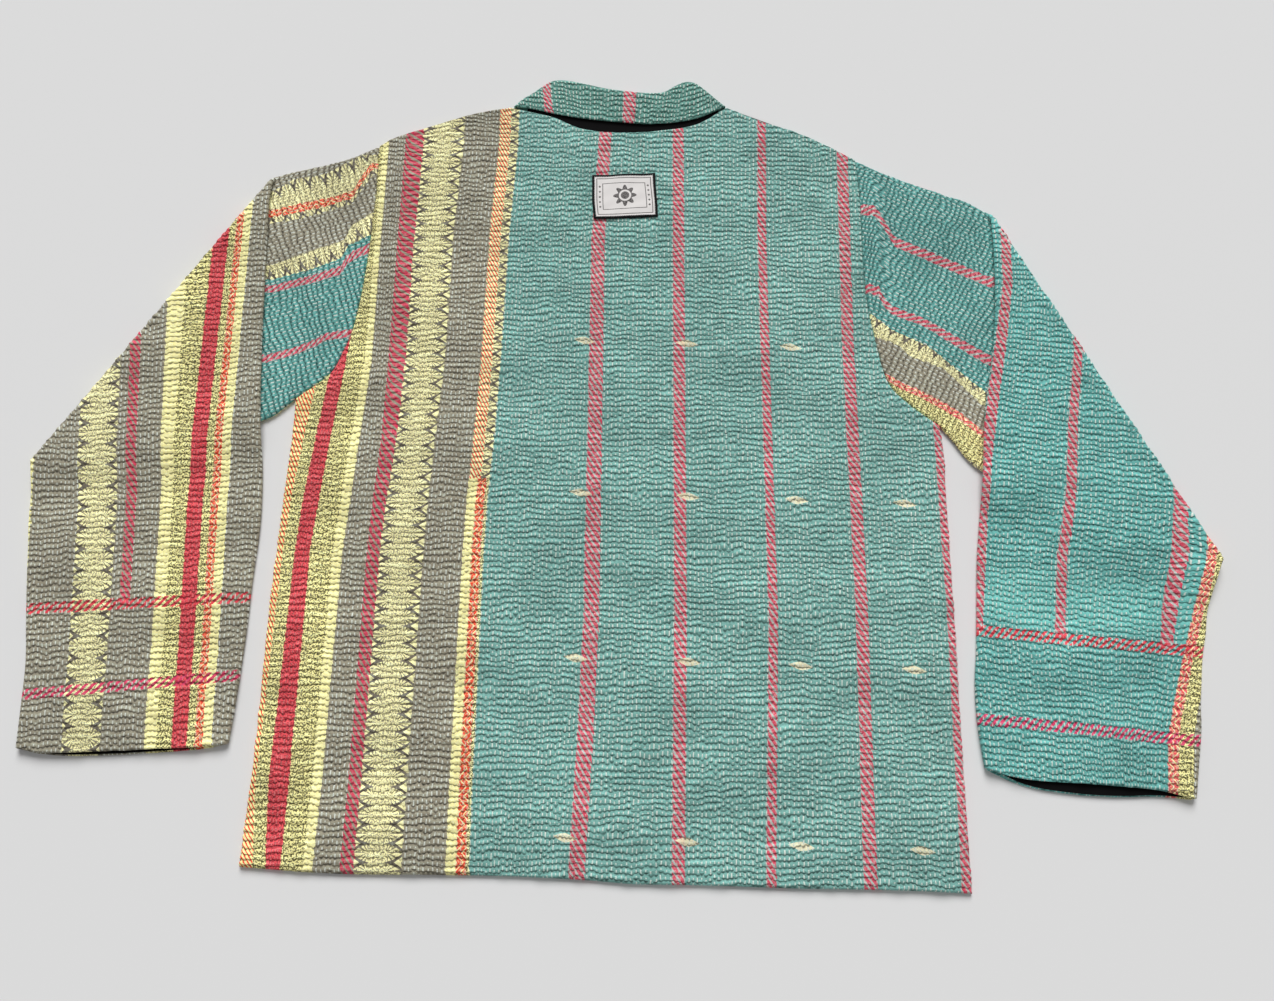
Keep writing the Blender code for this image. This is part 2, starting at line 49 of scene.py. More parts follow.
FLAT_HEIGHT = LAYER + CLOTH
PUCKER_PITCH = 5.2     # from one pucker to the next, which is one stitch and one gap
PUCKER_HEIGHT = 1.1
PUCKER_SINK = 0.4      # valleys go this far below the plain cloth
STITCH_SPACING = 3.6   # from one line of running stitch to the next
EDGE_ROUND = 2.6       # a turned edge is rounded over this width
EDGE_SWELL = 0.9       # each pucker pushes a free edge out by this much
PUCKER_MEAN = 0.7      # the puckers' mean height, as a share of the highest
LINE_WANDER = 0.35     # the lines of stitches wander by about this much
# How far the puckers wander, over what length, and how that is drawn out across and along them
PUCKER_WANDER = ((1.1, 60, 0.8, 1.0), (0.6, 18, 1.0, 0.5), (0.4, 9, 1.0, 0.3))

BACK_NECK = (
    (-105, 340.4), (-92, 337), (-65, 330), (-45, 320), (-25, 314.5), (5, 313), (25, 314), (55, 318),
    (75, 324), (99, 340))
SHOULDER_LEFT = ((-229, 298), (-215, 307), (-185, 318), (-145, 332), (-105, 340.4))
SHOULDER_RIGHT = ((99, 340.3), (135, 324), (165, 313), (195, 298), (220, 283))
ARMHOLE_LEFT = (
    (-229, 298), (-229, 252), (-231, 202), (-235, 152), (-241, 112), (-249, 87), (-258, 68), (-274, 54),
    (-287, 44))
ARMHOLE_RIGHT = ((220, 283), (222, 242), (222, 152), (228, 102), (237, 60), (255, 38), (280, 18))
SIDE_LEFT = ((-287, 44), (-287, 22), (-288, -8), (-290, -48), (-294, -148), (-295, -248), (-299, -349))
SIDE_RIGHT = ((280, 18), (282, -8), (281, -48), (280, -148), (278, -248), (277, -369))
HEM = (
    (-299, -349), (-225, -354), (-145, -355), (-85, -356), (-25, -359), (-6, -360.5), (15, -362), (75, -363),
    (135, -365), (195, -366), (235, -367), (277, -369))
BACK_TOP = 340.3
BACK_HEM = -360.0
BACK_WIDTH = 500.0     # about, where its outer columns are spaced
BACK_COLUMNS = 136
BACK_ROWS = 664
RIM_HEIGHT = 0.5       # the panel's outermost edge is this thick
SLACK_HEIGHT = 0.35    # the worn cloth lies a little unevenly, by about this much
UNDERARM_LEVEL = 15    # the sides hang free below this
FREE_EDGE = 5.0        # and swell with the puckers over this width
PRESSED = 0.35         # under the label the puckers keep this share of their height
LABEL_CENTRE = (3, 244)
LABEL_SIZE = (59.5, 46)

# Threads of the back's cloth: each one's place across the cloth, then where it lies, as level and x
OUTER_LEVELS = (-347, -286, -95, -48, 8, 79, 126, 300)
BANDED_LEVELS = (-347, -286, -95, -48, 8, 79, 207, 300)
BACK_THREADS = (
    (-281.0, tuple(zip(OUTER_LEVELS, (-278, -281.5, -276, -273, -266.3, -257, -254, -253)))),
    (-264.5, tuple(zip(OUTER_LEVELS, (-266, -264.5, -262.8, -258.8, -253, -244.6, -240, -238)))),
    (-240.5, tuple(zip(BANDED_LEVELS, (-242.7, -240.5, -237.6, -233.7, -229.6, -223.5, -222.8, -221.4)))),
    (-212.7, tuple(zip(BANDED_LEVELS, (-214.5, -212.7, -210.3, -208.4, -204.6, -204, -202.5, -201)))),
    (-207.0, tuple(zip(BANDED_LEVELS, (-208.5, -207, -203.8, -200.9, -194.9, -191.6, -190.3, -187)))),
    (-172.0, tuple(zip(BANDED_LEVELS, (-172.7, -172, -168.7, -166.7, -163.5, -158.3, -156.6, -151)))),
    (-117.5, tuple(zip(BANDED_LEVELS, (-117.4, -117.5, -115.6, -114, -110.1, -107.1, -103.1, -97.7)))),
    (-24.0, ((-349, -33.5), (-249, -27.5), (-149, -23.5), (201, -21.5), (312, -15.5))),
    (50.0, ((-349, 46.5), (-149, 50), (312, 52.5))),
    (127.0, ((-349, 118.5), (-149, 127), (201, 128), (320, 131.5))),
    (202.0, ((-349, 196.5), (-149, 201), (100, 202), (290, 206.5))),
)


def smooth_curve(table, spacing=4.0):
    """Points about this far apart on a smooth curve through the table's points."""
    knots = np.array(table, float)
    knots = np.vstack([2 * knots[0] - knots[1], knots, 2 * knots[-1] - knots[-2]])
    points = [knots[1]]
    for a, b, c, d in zip(knots, knots[1:], knots[2:], knots[3:]):
        steps = max(1, round(np.linalg.norm(c - b) / spacing))
        for i in range(1, steps + 1):
            t = i / steps
            squared = (2 * a - 5 * b + 4 * c - d) * t**2
            cubed = (3 * b - a - 3 * c + d) * t**3
            points.append((2 * b + (c - a) * t + squared + cubed) / 2)
    return np.array(points)


def place_at(curve, level, of_level=1, of_place=0):
    """Where the curve is at each level, read from two columns of its points."""
    order = np.argsort(curve[:, of_level], kind="stable")
    return np.interp(level, curve[order, of_level], curve[order, of_place])


def place_on_cloth(place, level, threads):
    """The same place in the cloth as it was woven, before it was pulled out of line."""
    lines = [(across, np.interp(level, *np.array(sorted(points)).T)) for across, points in threads]
    first, last = lines[0], lines[-1]
    result = first[0] + np.minimum(place - first[1], 0) + np.maximum(place - last[1], 0)
    for (low, low_place), (high, high_place) in zip(lines, lines[1:]):
        result = result + (high - low) * np.clip((place - low_place) / (high_place - low_place), 0, 1)
    return result


def drift(across, along, length, seed):
    """A smooth, uneven change over the cloth, mostly from -1 to 1, over about this length."""
    chance = np.random.default_rng(seed)
    total = 0
    for _ in range(7):
        way = chance.uniform(0, math.tau)
        turn = math.tau / (length * chance.uniform(0.7, 1.6))
        ahead = across * math.cos(way) + along * math.sin(way)
        total = total + np.sin(ahead * turn + chance.uniform(0, 9))
    return total / 2.6


def quilting(across, along, seed):
    """The number of the pucker that a point is on, as a fraction, and its height from 0 to 1."""
    wander = sum(
        amount * drift(across * sideways, along * lengthways, length, seed + i)
        for i, (amount, length, sideways, lengthways) in enumerate(PUCKER_WANDER))
    number = (along + wander) / PUCKER_PITCH
    depth = np.clip(0.75 + 0.45 * drift(across, along, 18, seed + len(PUCKER_WANDER)), 0.25, 1.2)
    return number, depth * np.abs(np.sin(np.pi * number)) ** 0.7


def finish_mesh(mesh, name):
    """The finished shape as a mesh of this name."""
    data = bpy.data.meshes.new(name)
    mesh.to_mesh(data)
    mesh.free()
    return data


def read_points(data):
    """A mesh's points as an array."""
    flat = np.empty(len(data.vertices) * 3)
    data.vertices.foreach_get("co", flat)
    return flat.reshape(-1, 3)


def write_points(data, points):
    """Moves a mesh's points to those in the array."""
    data.vertices.foreach_set("co", np.asarray(points, float).ravel())
    data.update()


def write_map(data, name, across, along):
    """Gives a mesh a UV map from two values for each corner of its faces."""
    layer = data.uv_layers.new(name=name)
    layer.data.foreach_set("uv", np.stack([across, along], 1).astype(np.float32).ravel())


def corners_of(data):
    """The point's number at each corner of a mesh's faces, and the face's number."""
    points = np.empty(len(data.loops), np.int64)
    data.loops.foreach_get("vertex_index", points)
    sizes = np.empty(len(data.polygons), np.int64)
    data.polygons.foreach_get("loop_total", sizes)
    return points, np.repeat(np.arange(len(sizes)), sizes)


def finish_piece(data, name, node, materials):
    """Turns a mesh to metres, and makes it the object that stands for its CAD node."""
    data.transform(Matrix.Scale(MM, 4))
    for material in materials:
        data.materials.append(material)
    data.shade_smooth()
    data.set_sharp_from_angle(angle=math.radians(70))
    piece = bpy.data.objects.new(name, data)
    bpy.context.scene.collection.objects.link(piece)
    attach(piece, "root")
    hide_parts(node)


def linear(code):
    """A hex colour, as seen on a screen, in linear values."""
    values = [int(code[i:i + 2], 16) / 255 for i in (0, 2, 4)]
    return tuple(v / 12.92 if v <= 0.04045 else ((v + 0.055) / 1.055) ** 2.4 for v in values) + (1.0,)


def new_material(name):
    """A material with the standard shader, its node tree, and a call that adds nodes to it."""
    material = bpy.data.materials.new(name)
    material.use_nodes = True
    return material, material.node_tree, partial(add_node, material.node_tree)


def set_inputs(tree, node, inputs):
    """Gives inputs of a node their values, or links to other nodes' outputs."""
    for socket, value in inputs.items():
        if isinstance(value, bpy.types.NodeSocket):
            tree.links.new(value, node.inputs[socket])
        else:
            node.inputs[socket].default_value = value


def add_node(tree, kind, inputs=(), output=0, **settings):
    """Adds a node with its settings, and gives one of its outputs.

    Its inputs are values or other nodes' outputs, in order or by name."""
    node = tree.nodes.new("ShaderNode" + kind)
    for name, value in settings.items():
        setattr(node, name, value)
    set_inputs(tree, node, inputs if isinstance(inputs, dict) else dict(enumerate(inputs)))
    return node.outputs[output]


# Dyes of the cloths
TEAL = "72A29A"
DEEP_TEAL = "5A9690"
LIGHT_TEAL = "61A49E"
GREY = "928C7A"
SHADED_GREY = "6C6558"
BRIGHT_TEAL = "78C6BE"
YELLOW = "EFE69E"
PALE_YELLOW = "F2EBB0"
KHAKI = "6F6A42"
RED = "DC4F56"
DEEP_RED = "A8323A"
PINK_RED = "CA4057"
CRIMSON = "C43350"
MAUVE = "ACB1AB"
ORANGE = "E2452E"
CREAM = "E2D6B2"
STITCHING = "F0F6EC"

# What is woven into a band: plain, slanting strokes, flower rows, speckles, fine strokes or zigzags
PLAIN = (0, 0, 0, 0)
STROKES = (1, 0, 0, 0)
FLOWERS = (0, 1, 0, 0)
SPECKLES = (0, 0, 1, 0)
FINE_STROKES = (0, 0, 0, 1)
ZIGZAGS = (0, 0, 0, 0.5)

# Sizes of what is woven, from one stroke, or one turn of a zigzag, to the next
STROKE_PITCH = 7.6
FINE_STROKE_PITCH = 5.2
CROSS_STROKE_PITCH = 6.7
ZIGZAG_PITCH = 5.6
ZIGZAG_HEIGHT = 7.2
THREAD_STEP = 0.6      # a slanting stroke goes over in steps of a few threads
FLOWER_REACH = 17.5    # from the middle of a flower row to where its leaves end
SPRIG_LENGTH = 21.0
SPRIG_THICKNESS = 7.2
LAST_BAND = 60.0       # the last band of a table goes on for this long

# Noises, as their count to the metre. The real threads are about 0.4 mm apart, too fine to show in
# the render, so the weave is drawn at twice that, and its thick and thin threads coarser still
WEAVE = 1300.0                 # 0.8 mm
GRAIN = 700.0                  # 1.4 mm
UNREST = 300.0                 # 3.3 mm, how a pucker wanders between two lines of stitches
CLOUDS = 180.0                 # 5.6 mm, how the dye is worn off
STREAKS = (60, 300, 0)         # 17 mm across the cloth and 3.3 mm along it, in the puckers' painted shade and painted highlight
PATCHES = (10, 22, 0)          # 100 mm across the cloth and 45 mm along it, faded and fresh

# Each band's place across the cloth, its ground, its figures and what is woven into it
BACK_LEFT_BANDS = (
    (-330.0, YELLOW, ORANGE, FINE_STROKES),
    (-292.5, YELLOW, KHAKI, SPECKLES),
    (-281.0, RED, DEEP_RED, SPECKLES),
    (-264.5, YELLOW, KHAKI, SPECKLES),
    (-248.0, YELLOW, PALE_YELLOW, SPECKLES),
    (-240.5, GREY, GREY, PLAIN),
    (-217.0, GREY, CRIMSON, STROKES),
    (-208.5, GREY, GREY, PLAIN),
    (-207.0, SHADED_GREY, PALE_YELLOW, FLOWERS),
    (-172.0, GREY, GREY, PLAIN),
)
BACK_TEAL_BANDS = (
    (-117.5, TEAL, TEAL, PLAIN),
    (-30.5, MAUVE, PINK_RED, STROKES),
    (-17.5, TEAL, TEAL, PLAIN),
    (45.5, MAUVE, PINK_RED, STROKES),
    (54.5, TEAL, TEAL, PLAIN),
    (122.5, MAUVE, PINK_RED, STROKES),
    (131.5, TEAL, TEAL, PLAIN),
    (197.5, MAUVE, PINK_RED, STROKES),
    (206.5, TEAL, TEAL, PLAIN),
    (273.0, MAUVE, PINK_RED, STROKES),
    (283.0, TEAL, TEAL, PLAIN),
)
BACK_UPPER_BANDS = (
    *BACK_LEFT_BANDS,
    (-137.5, RED, ORANGE, SPECKLES),
    (-136.3, PALE_YELLOW, ORANGE, FINE_STROKES),
    (-126.5, SHADED_GREY, PALE_YELLOW, FLOWERS),
    *BACK_TEAL_BANDS,
)
BACK_LOWER_BANDS = (
    *BACK_LEFT_BANDS,
    (-137.5, YELLOW, PALE_YELLOW, SPECKLES),
    (-130.0, PALE_YELLOW, ORANGE, ZIGZAGS),
    (-120.0, PALE_YELLOW, KHAKI, SPECKLES),
    *BACK_TEAL_BANDS,
)


def quilted_cotton(name, bands, flower_centres=(0.0,), lower=None, lean=1.5, repeat_length=14.4,
                   shading=1.15, sprigs=None, cross_stripes=(), pale_zone=None):
    """Hand-quilted cotton: a matt, slightly napped cloth in woven bands, sewn with light thread.

    The cloth's own measures are in the UV map "cloth", in metres, and the puckers in "stitch".
    Lower is the level and slope of a line, and the bands below it. Lean is how steep the strokes are,
    the repeat's length is that of the flowers, and shading is how dark the painted shade in the valleys
    is. Sprigs are the first one's place, the way to the next, and the level and side they keep to. A cross
    stripe is a level, slope, width and dye. In the pale zone, a level, slope and width, plain cloth is
    brighter. The colour holds painted shade in the valleys and a painted highlight on the crests."""
    material, tree, add = new_material(name)
    cloth = add("UVMap", uv_map="cloth")
    across, along, _ = add("SeparateXYZ", (cloth,)).node.outputs
    cloud = add("TexNoise", {"Vector": cloth, "Scale": CLOUDS, "Detail": 3.0})
    grain = add("TexNoise", {"Vector": cloth, "Scale": GRAIN, "Detail": 2.0})

    def slant(pitch, lean, level):
        """How far a point is from one slanting stroke to the next, stepped as the threads are."""
        stepped = add("Math", (level, THREAD_STEP * MM), operation="SNAP")
        leaning = add("Math", (across, lean, stepped), operation="MULTIPLY_ADD")
        count = add("Math", (leaning, pitch * MM), operation="DIVIDE")
        return add("Math", (count,), operation="FRACT")

    def drawn(turn, cover):
        """The strokes themselves, a little worn, where they cover this share of their pitch."""
        mottled = add("Math", (cloud, 0.5, cover - 0.25), operation="MULTIPLY_ADD")
        return add("Math", (turn, mottled), operation="LESS_THAN")

    # A band's edge is ragged, because its threads wander, and its strokes start a little outside it
    broad_turn = slant(STROKE_PITCH, lean, along)
    wobble = add("Math", (cloud, 0.0024, -0.0012), operation="MULTIPLY_ADD")
    ragged = add("Math", (broad_turn, 0.0009, wobble), operation="MULTIPLY_ADD")
    across_ragged = add("Math", (across, ragged), operation="ADD")

    def read_bands(table):
        """The ground, figure and kind of band at a point, read from ramps over the cloth's width."""
        start = table[0][0]
        width = table[-1][0] - start + LAST_BAND
        place = add("Math", (across_ragged, 1 / (width * MM), -start / width), operation="MULTIPLY_ADD")
        found = []
        for column in (1, 2, 3):
            ramp = add("ValToRGB", (place,)).node
            ramp.color_ramp.interpolation = "CONSTANT"
            for i, band in enumerate(table):
                position = (band[0] - start) / width
                element = ramp.color_ramp.elements[i] if i < 2 else ramp.color_ramp.elements.new(position)
                element.position = position
                element.color = band[column] if column == 3 else linear(band[column])
            found.append(ramp)
        return [*(ramp.outputs[0] for ramp in found), found[2].outputs[1]]

    ground, figure, kind, kind_alpha = read_bands(bands)
    if lower:
        level, slope, lower_bands = lower
        sloped = add("Math", (across, slope, along), operation="MULTIPLY_ADD")
        ragged_level = add("Math", (sloped, wobble), operation="ADD")
        below = add("Math", (ragged_level, level * MM), operation="LESS_THAN")
        other = read_bands(lower_bands)
        ground, figure, kind = (
            add("Mix", {0: below, 6: a, 7: b}, 2, data_type="RGBA")
            for a, b in zip((ground, figure, kind), other))
        kind_alpha = add("Mix", {0: below, 2: kind_alpha, 3: other[3]})
    in_strokes, in_flowers, in_speckles = add("SeparateColor", (kind,)).node.outputs

    # Slanting strokes with unevenly dyed threads, finer ones, and zigzags
    uneven = add(
        "MapRange", {"Value": grain, "From Min": 0.38, "From Max": 0.5, "To Min": 0.5, "To Max": 1.0})
    broad = add("Math", (drawn(broad_turn, 0.64), in_strokes), operation="MULTIPLY")
    broad = add("Math", (broad, uneven), operation="MULTIPLY")
    in_fine = add("Math", (kind_alpha, 0.75), operation="GREATER_THAN")
    fine = add("Math", (drawn(slant(FINE_STROKE_PITCH, 1.7, along), 0.4), in_fine), operation="MULTIPLY")
    there_and_back = add("Math", (along, ZIGZAG_HEIGHT * MM), operation="PINGPONG")
    in_zigzags = add("Math", (kind_alpha, 0.5, 0.2), operation="COMPARE")
    zigzag_turn = slant(ZIGZAG_PITCH, 1.1, there_and_back)
    zigzags = add("Math", (drawn(zigzag_turn, 0.82), in_zigzags), operation="MULTIPLY")
    zigzags = add("Math", (zigzags, uneven), operation="MULTIPLY")
    dark_grain = add("Math", (grain, 0.515), operation="GREATER_THAN")
    speckles = add("Math", (dark_grain, in_speckles), operation="MULTIPLY")

    # Flower rows: leaves with dotted middles and veined ends, and wedges between them at the edge
    nearest = None
    for centre in flower_centres:
        offset = add("Math", (across, centre * MM), operation="SUBTRACT")
        distance = add("Math", (offset,), operation="ABSOLUTE")
        nearest = distance if nearest is None else add("Math", (nearest, distance), operation="MINIMUM")
    side = add("Math", (nearest, FLOWER_REACH * MM), operation="DIVIDE")
    repeat = add("Math", (along, repeat_length * MM), operation="DIVIDE")
    repeat = add("Math", (repeat,), operation="FRACT")
    repeat = add("Math", (repeat, 0.5), operation="SUBTRACT")
    height = add("Math", (repeat,), operation="ABSOLUTE")
    spread = add("Math", (side, 2.2), operation="POWER")
    leaf_edge = add("Math", (spread, -0.38, 0.53), operation="MULTIPLY_ADD")
    leaves = add("Math", (height, leaf_edge), operation="LESS_THAN")
    wedge_edge = add("Math", (height, -1.2, 1.37), operation="MULTIPLY_ADD")
    wedges = add("Math", (side, wedge_edge), operation="GREATER_THAN")
    vein_base = add("Math", (side, 1.3, -0.5), operation="MULTIPLY_ADD")
    vein_angle = add("Math", (repeat, vein_base), operation="ARCTAN2")
    vein_turn = add("Math", (vein_angle, 2.3), operation="MULTIPLY")
    vein_turn = add("Math", (vein_turn,), operation="FRACT")
    vein_width = add("Math", (grain, 1.6, -0.42), operation="MULTIPLY_ADD")
    veins = add("Math", (vein_turn, vein_width), operation="LESS_THAN")
    vein_tone = add("Math", (veins, -0.9, 1.0), operation="MULTIPLY_ADD")
    dot_tone = add("Math", (dark_grain, -0.7, 1.0), operation="MULTIPLY_ADD")
    in_middle = add("Math", (side, 0.42), operation="LESS_THAN")
    leaf_tone = add("Mix", {0: in_middle, 2: vein_tone, 3: dot_tone})
    leaves = add("Math", (leaves, leaf_tone), operation="MULTIPLY")
    flowers = add("Math", (leaves, wedges), operation="MAXIMUM")
    flowers = add("Math", (flowers, in_flowers), operation="MULTIPLY")

    woven = broad
    for figures in (fine, zigzags, speckles, flowers):
        woven = add("Math", (woven, figures), operation="MAXIMUM")
    colour = add("Mix", {0: woven, 6: ground, 7: figure}, 2, data_type="RGBA")
    figured = add("Math", (in_strokes, in_flowers), operation="ADD")
    figured = add("Math", (figured, in_speckles), operation="ADD")
    figured = add("Math", (figured, kind_alpha), operation="ADD", use_clamp=True)

    # Stripes of strokes across the bands, near a sleeve's end
    for level, slope, thick, dye in cross_stripes:
        sloped = add("Math", (across, slope, along), operation="MULTIPLY_ADD")
        sloped = add("Math", (sloped, wobble), operation="ADD")
        inside = add("Math", (sloped, level * MM, thick * MM / 2), operation="COMPARE")
        cross_strokes = drawn(slant(CROSS_STROKE_PITCH, -1.05, along), 0.54)
        mask = add("Math", (inside, cross_strokes), operation="MULTIPLY")
        colour = add("Mix", {0: mask, 6: colour, 7: linear(dye)}, 2, data_type="RGBA")

    # Small woven leaves in rows. The leaves lean a little, and so do their rows
    if sprigs:
        (first_x, first_y), (pitch_x, pitch_y), high, left = sprigs
        x = add("Math", (across, first_x * MM), operation="SUBTRACT")
        y = add("Math", (along, first_y * MM), operation="SUBTRACT")
        y = add("Math", (x, 0.035, y), operation="MULTIPLY_ADD")
        x = add("Math", (x, pitch_x * MM / 2, -pitch_x * MM / 2), operation="WRAP")
        y = add("Math", (y, pitch_y * MM / 2, -pitch_y * MM / 2), operation="WRAP")
        y = add("Math", (x, 0.1, y), operation="MULTIPLY_ADD")
        x = add("Math", (x,), operation="ABSOLUTE")
        y = add("Math", (y,), operation="ABSOLUTE")
        x_share = add("Math", (x, SPRIG_LENGTH * MM / 2), operation="DIVIDE")
        y_share = add("Math", (y, SPRIG_THICKNESS * MM / 2), operation="DIVIDE")
        curved = add("Math", (x_share, 1.4), operation="POWER")
        outline = add("Math", (curved, y_share), operation="ADD")
        leaf = add("Math", (outline, 0.98), operation="LESS_THAN")
        torn = add("Math", (grain, 0.37), operation="GREATER_THAN")
        below = add("Math", (along, high * MM), operation="LESS_THAN")
        beside = add("Math", (across, left * MM), operation="GREATER_THAN")
        mask = leaf
        for factor in (torn, below, beside, 0.85):
            mask = add("Math", (mask, factor), operation="MULTIPLY")
        colour = add("Mix", {0: mask, 6: colour, 7: linear(CREAM)}, 2, data_type="RGBA")

    # Puckers: the cloth puffs up between the lines of stitches, and each line's puckers are a little
    # out of step with the next one's
    stitch = add("UVMap", uv_map="stitch")
    stitch_across, number, _ = add("SeparateXYZ", (stitch,)).node.outputs
    line = add("Math", (stitch_across, STITCH_SPACING * MM), operation="DIVIDE")
    between = add("Math", (line,), operation="FRACT")
    between = add("Math", (between, 0.5), operation="SUBTRACT")
    puff = add("Math", (between, math.tau), operation="MULTIPLY")
    puff = add("Math", (puff,), operation="COSINE")
    unrest = add("TexNoise", {"Vector": cloth, "Scale": UNREST, "Detail": 2.0})
    own_line = add("Math", (line,), operation="FLOOR")
    line_place = add("Math", (own_line, 3.7), operation="MULTIPLY")
    own_way = add("Math", (number, 0.3), operation="MULTIPLY")
    own_way = add("CombineXYZ", (line_place, own_way))
    out_of_step = add("TexNoise", {"Vector": own_way, "Scale": 1.0, "Detail": 0.0})
    row = number
    for field, amount in ((puff, 0.05), (unrest, 0.3), (out_of_step, 1.0)):
        row = add("Math", (field, amount, row), operation="MULTIPLY_ADD")
    row = add("Math", (row, 0.65), operation="SUBTRACT")
    phase = add("Math", (row, 0.5), operation="PINGPONG")

    # The valleys get painted shade, less of it where strokes or flowers are woven
    valley = add(
        "MapRange", {"Value": phase, "From Min": 0.02, "From Max": 0.2, "To Min": 1.0, "To Max": 0.0},
        interpolation_type="SMOOTHSTEP")
    stretched = add("VectorMath", (cloth, STREAKS), operation="MULTIPLY")
    streaks = add("TexNoise", {"Vector": stretched, "Scale": 1.0, "Detail": 3.0})
    deep = add(
        "MapRange", {"Value": streaks, "From Min": 0.34, "From Max": 0.62, "To Min": 1.0, "To Max": 0.45})
    dark = add("Math", (valley, deep), operation="MULTIPLY")
    drawn_in = add("Math", (puff, 0.3, 0.74), operation="MULTIPLY_ADD")
    drawn_in = add("Math", (in_strokes, -0.35, drawn_in), operation="MULTIPLY_ADD")
    drawn_in = add("Math", (in_flowers, -0.25, drawn_in), operation="MULTIPLY_ADD", use_clamp=True)
    dark = add("Math", (dark, drawn_in), operation="MULTIPLY")

    # Painted highlight: the crests are painted paler in streaks. The dye has also faded in patches and from
    # thread to thread, and the painted shade of the valleys is multiplied in with that fading
    crest = add(
        "MapRange", {"Value": phase, "From Min": 0.15, "From Max": 0.38}, interpolation_type="SMOOTHSTEP")
    mottled = add("MapRange", {"Value": streaks, "From Min": 0.44, "From Max": 0.64})
    mottled = add("Math", (mottled, crest), operation="MULTIPLY")
    # The painted highlight's colour: the ground made paler and bluer
    highlight_colour = add(
        "VectorMath", (colour, (1.38, 1.45, 1.45), (0.04, 0.06, 0.06)), operation="MULTIPLY_ADD")
    highlight_share = add("Math", (mottled, 0.85), operation="MULTIPLY")
    colour = add("Mix", {0: highlight_share, 6: colour, 7: highlight_colour}, 2, data_type="RGBA")
    if pale_zone:
        level, slope, wide = pale_zone
        sloped = add("Math", (across, slope, along), operation="MULTIPLY_ADD")
        away = add("Math", (sloped, level * MM), operation="SUBTRACT")
        away = add("Math", (away,), operation="ABSOLUTE")
        zone = add("MapRange", {
            "Value": away, "From Min": wide * 0.4 * MM, "From Max": wide * 0.6 * MM, "To Min": 0.55,
            "To Max": 0.0})
        plain = add("Math", (figured, 0.3), operation="LESS_THAN")
        zone = add("Math", (zone, plain), operation="MULTIPLY")
        colour = add("Mix", {0: zone, 6: colour, 7: linear(BRIGHT_TEAL)}, 2, data_type="RGBA")
    drawn_out = add("VectorMath", (cloth, PATCHES), operation="MULTIPLY")
    patches = add("TexNoise", {"Vector": drawn_out, "Scale": 1.0, "Detail": 4.0})
    threads = add("TexNoise", {"Vector": cloth, "Scale": WEAVE, "Detail": 2.0})
    fade_and_shade = add("Math", (patches, 0.9, 0.55), operation="MULTIPLY_ADD")
    thread_fade = add("Math", (threads, 0.6, 0.7), operation="MULTIPLY_ADD")
    fade_and_shade = add("Math", (fade_and_shade, thread_fade), operation="MULTIPLY")
    # Painted shade: the valleys darken the colour by the shading, from a base of 1.3 elsewhere
    shade = add("Math", (dark, -shading, 1.3), operation="MULTIPLY_ADD")
    fade_and_shade = add("Math", (fade_and_shade, shade), operation="MULTIPLY")
    colour = add("VectorMath", {0: colour, 3: fade_and_shade}, operation="SCALE")

    # Running stitch: short light threads on the ridges, a little out of line and not all alike
    own_row = add("Math", (row,), operation="FLOOR")
    cell = add("CombineXYZ", (own_line, own_row))
    chance = add("TexWhiteNoise", {"Vector": cell}, "Color", noise_dimensions="2D")
    chance_1, chance_2, chance_3 = add("SeparateColor", (chance,)).node.outputs
    aside = add("Math", (chance_1, 0.2, between), operation="MULTIPLY_ADD")
    aside = add("Math", (aside, 0.1, 0.14), operation="COMPARE")
    ahead = add("Math", (row,), operation="FRACT")
    ahead = add("Math", (ahead, 0.6), operation="SUBTRACT")
    ahead = add("Math", (chance_2, 0.2, ahead), operation="MULTIPLY_ADD")
    ahead = add("Math", (ahead,), operation="ABSOLUTE")
    half_length = add("Math", (chance_3, 0.24, 0.1), operation="MULTIPLY_ADD")
    in_length = add("Math", (ahead, half_length), operation="LESS_THAN")
    thread = add("Math", (aside, in_length), operation="MULTIPLY")
    strength = add(
        "MapRange", {"Value": patches, "From Min": 0.35, "From Max": 0.65, "To Min": 0.65, "To Max": 1.0})
    bare = add("Math", (figured, -0.85, 1.0), operation="MULTIPLY_ADD")
    seen = add("Math", (strength, bare), operation="MULTIPLY")
    seen = add("Math", (seen, thread), operation="MULTIPLY")
    colour = add("Mix", {0: seen, 6: colour, 7: linear(STITCHING)}, 2, data_type="RGBA")

    # Relief: the puffs between the stitches, the threads that lie on them, and the weave
    relief = add("Math", (thread, 0.35), operation="MULTIPLY")
    for field, height in ((puff, -0.14), (threads, 0.5), (valley, -0.6)):
        relief = add("Math", (field, height, relief), operation="MULTIPLY_ADD")
    bump = add("Bump", {"Strength": 1.0, "Distance": 0.0014, "Height": relief})
    set_inputs(tree, tree.nodes["Principled BSDF"], {
        "Base Color": colour, "Normal": bump, "Roughness": 0.92, "Specular IOR Level": 0.2,
        "Sheen Weight": 0.12, "Sheen Roughness": 0.5})
    return material


back_cloth = quilted_cotton(
    "pieced_quilted_cotton", BACK_UPPER_BANDS, (-189.5, -135.0), lower=(-30.0, 0.0, BACK_LOWER_BANDS),
    sprigs=((-35.5, -43.0), (93.5, 142.0), 130, -90.0))


def open_edges(mesh):
    """The edges that have a face on one side only."""
    return [edge for edge in mesh.edges if edge.is_boundary]


def only(made, kind):
    """Of what an operator made, the points or the faces."""
    return [item for item in made if isinstance(item, kind)]


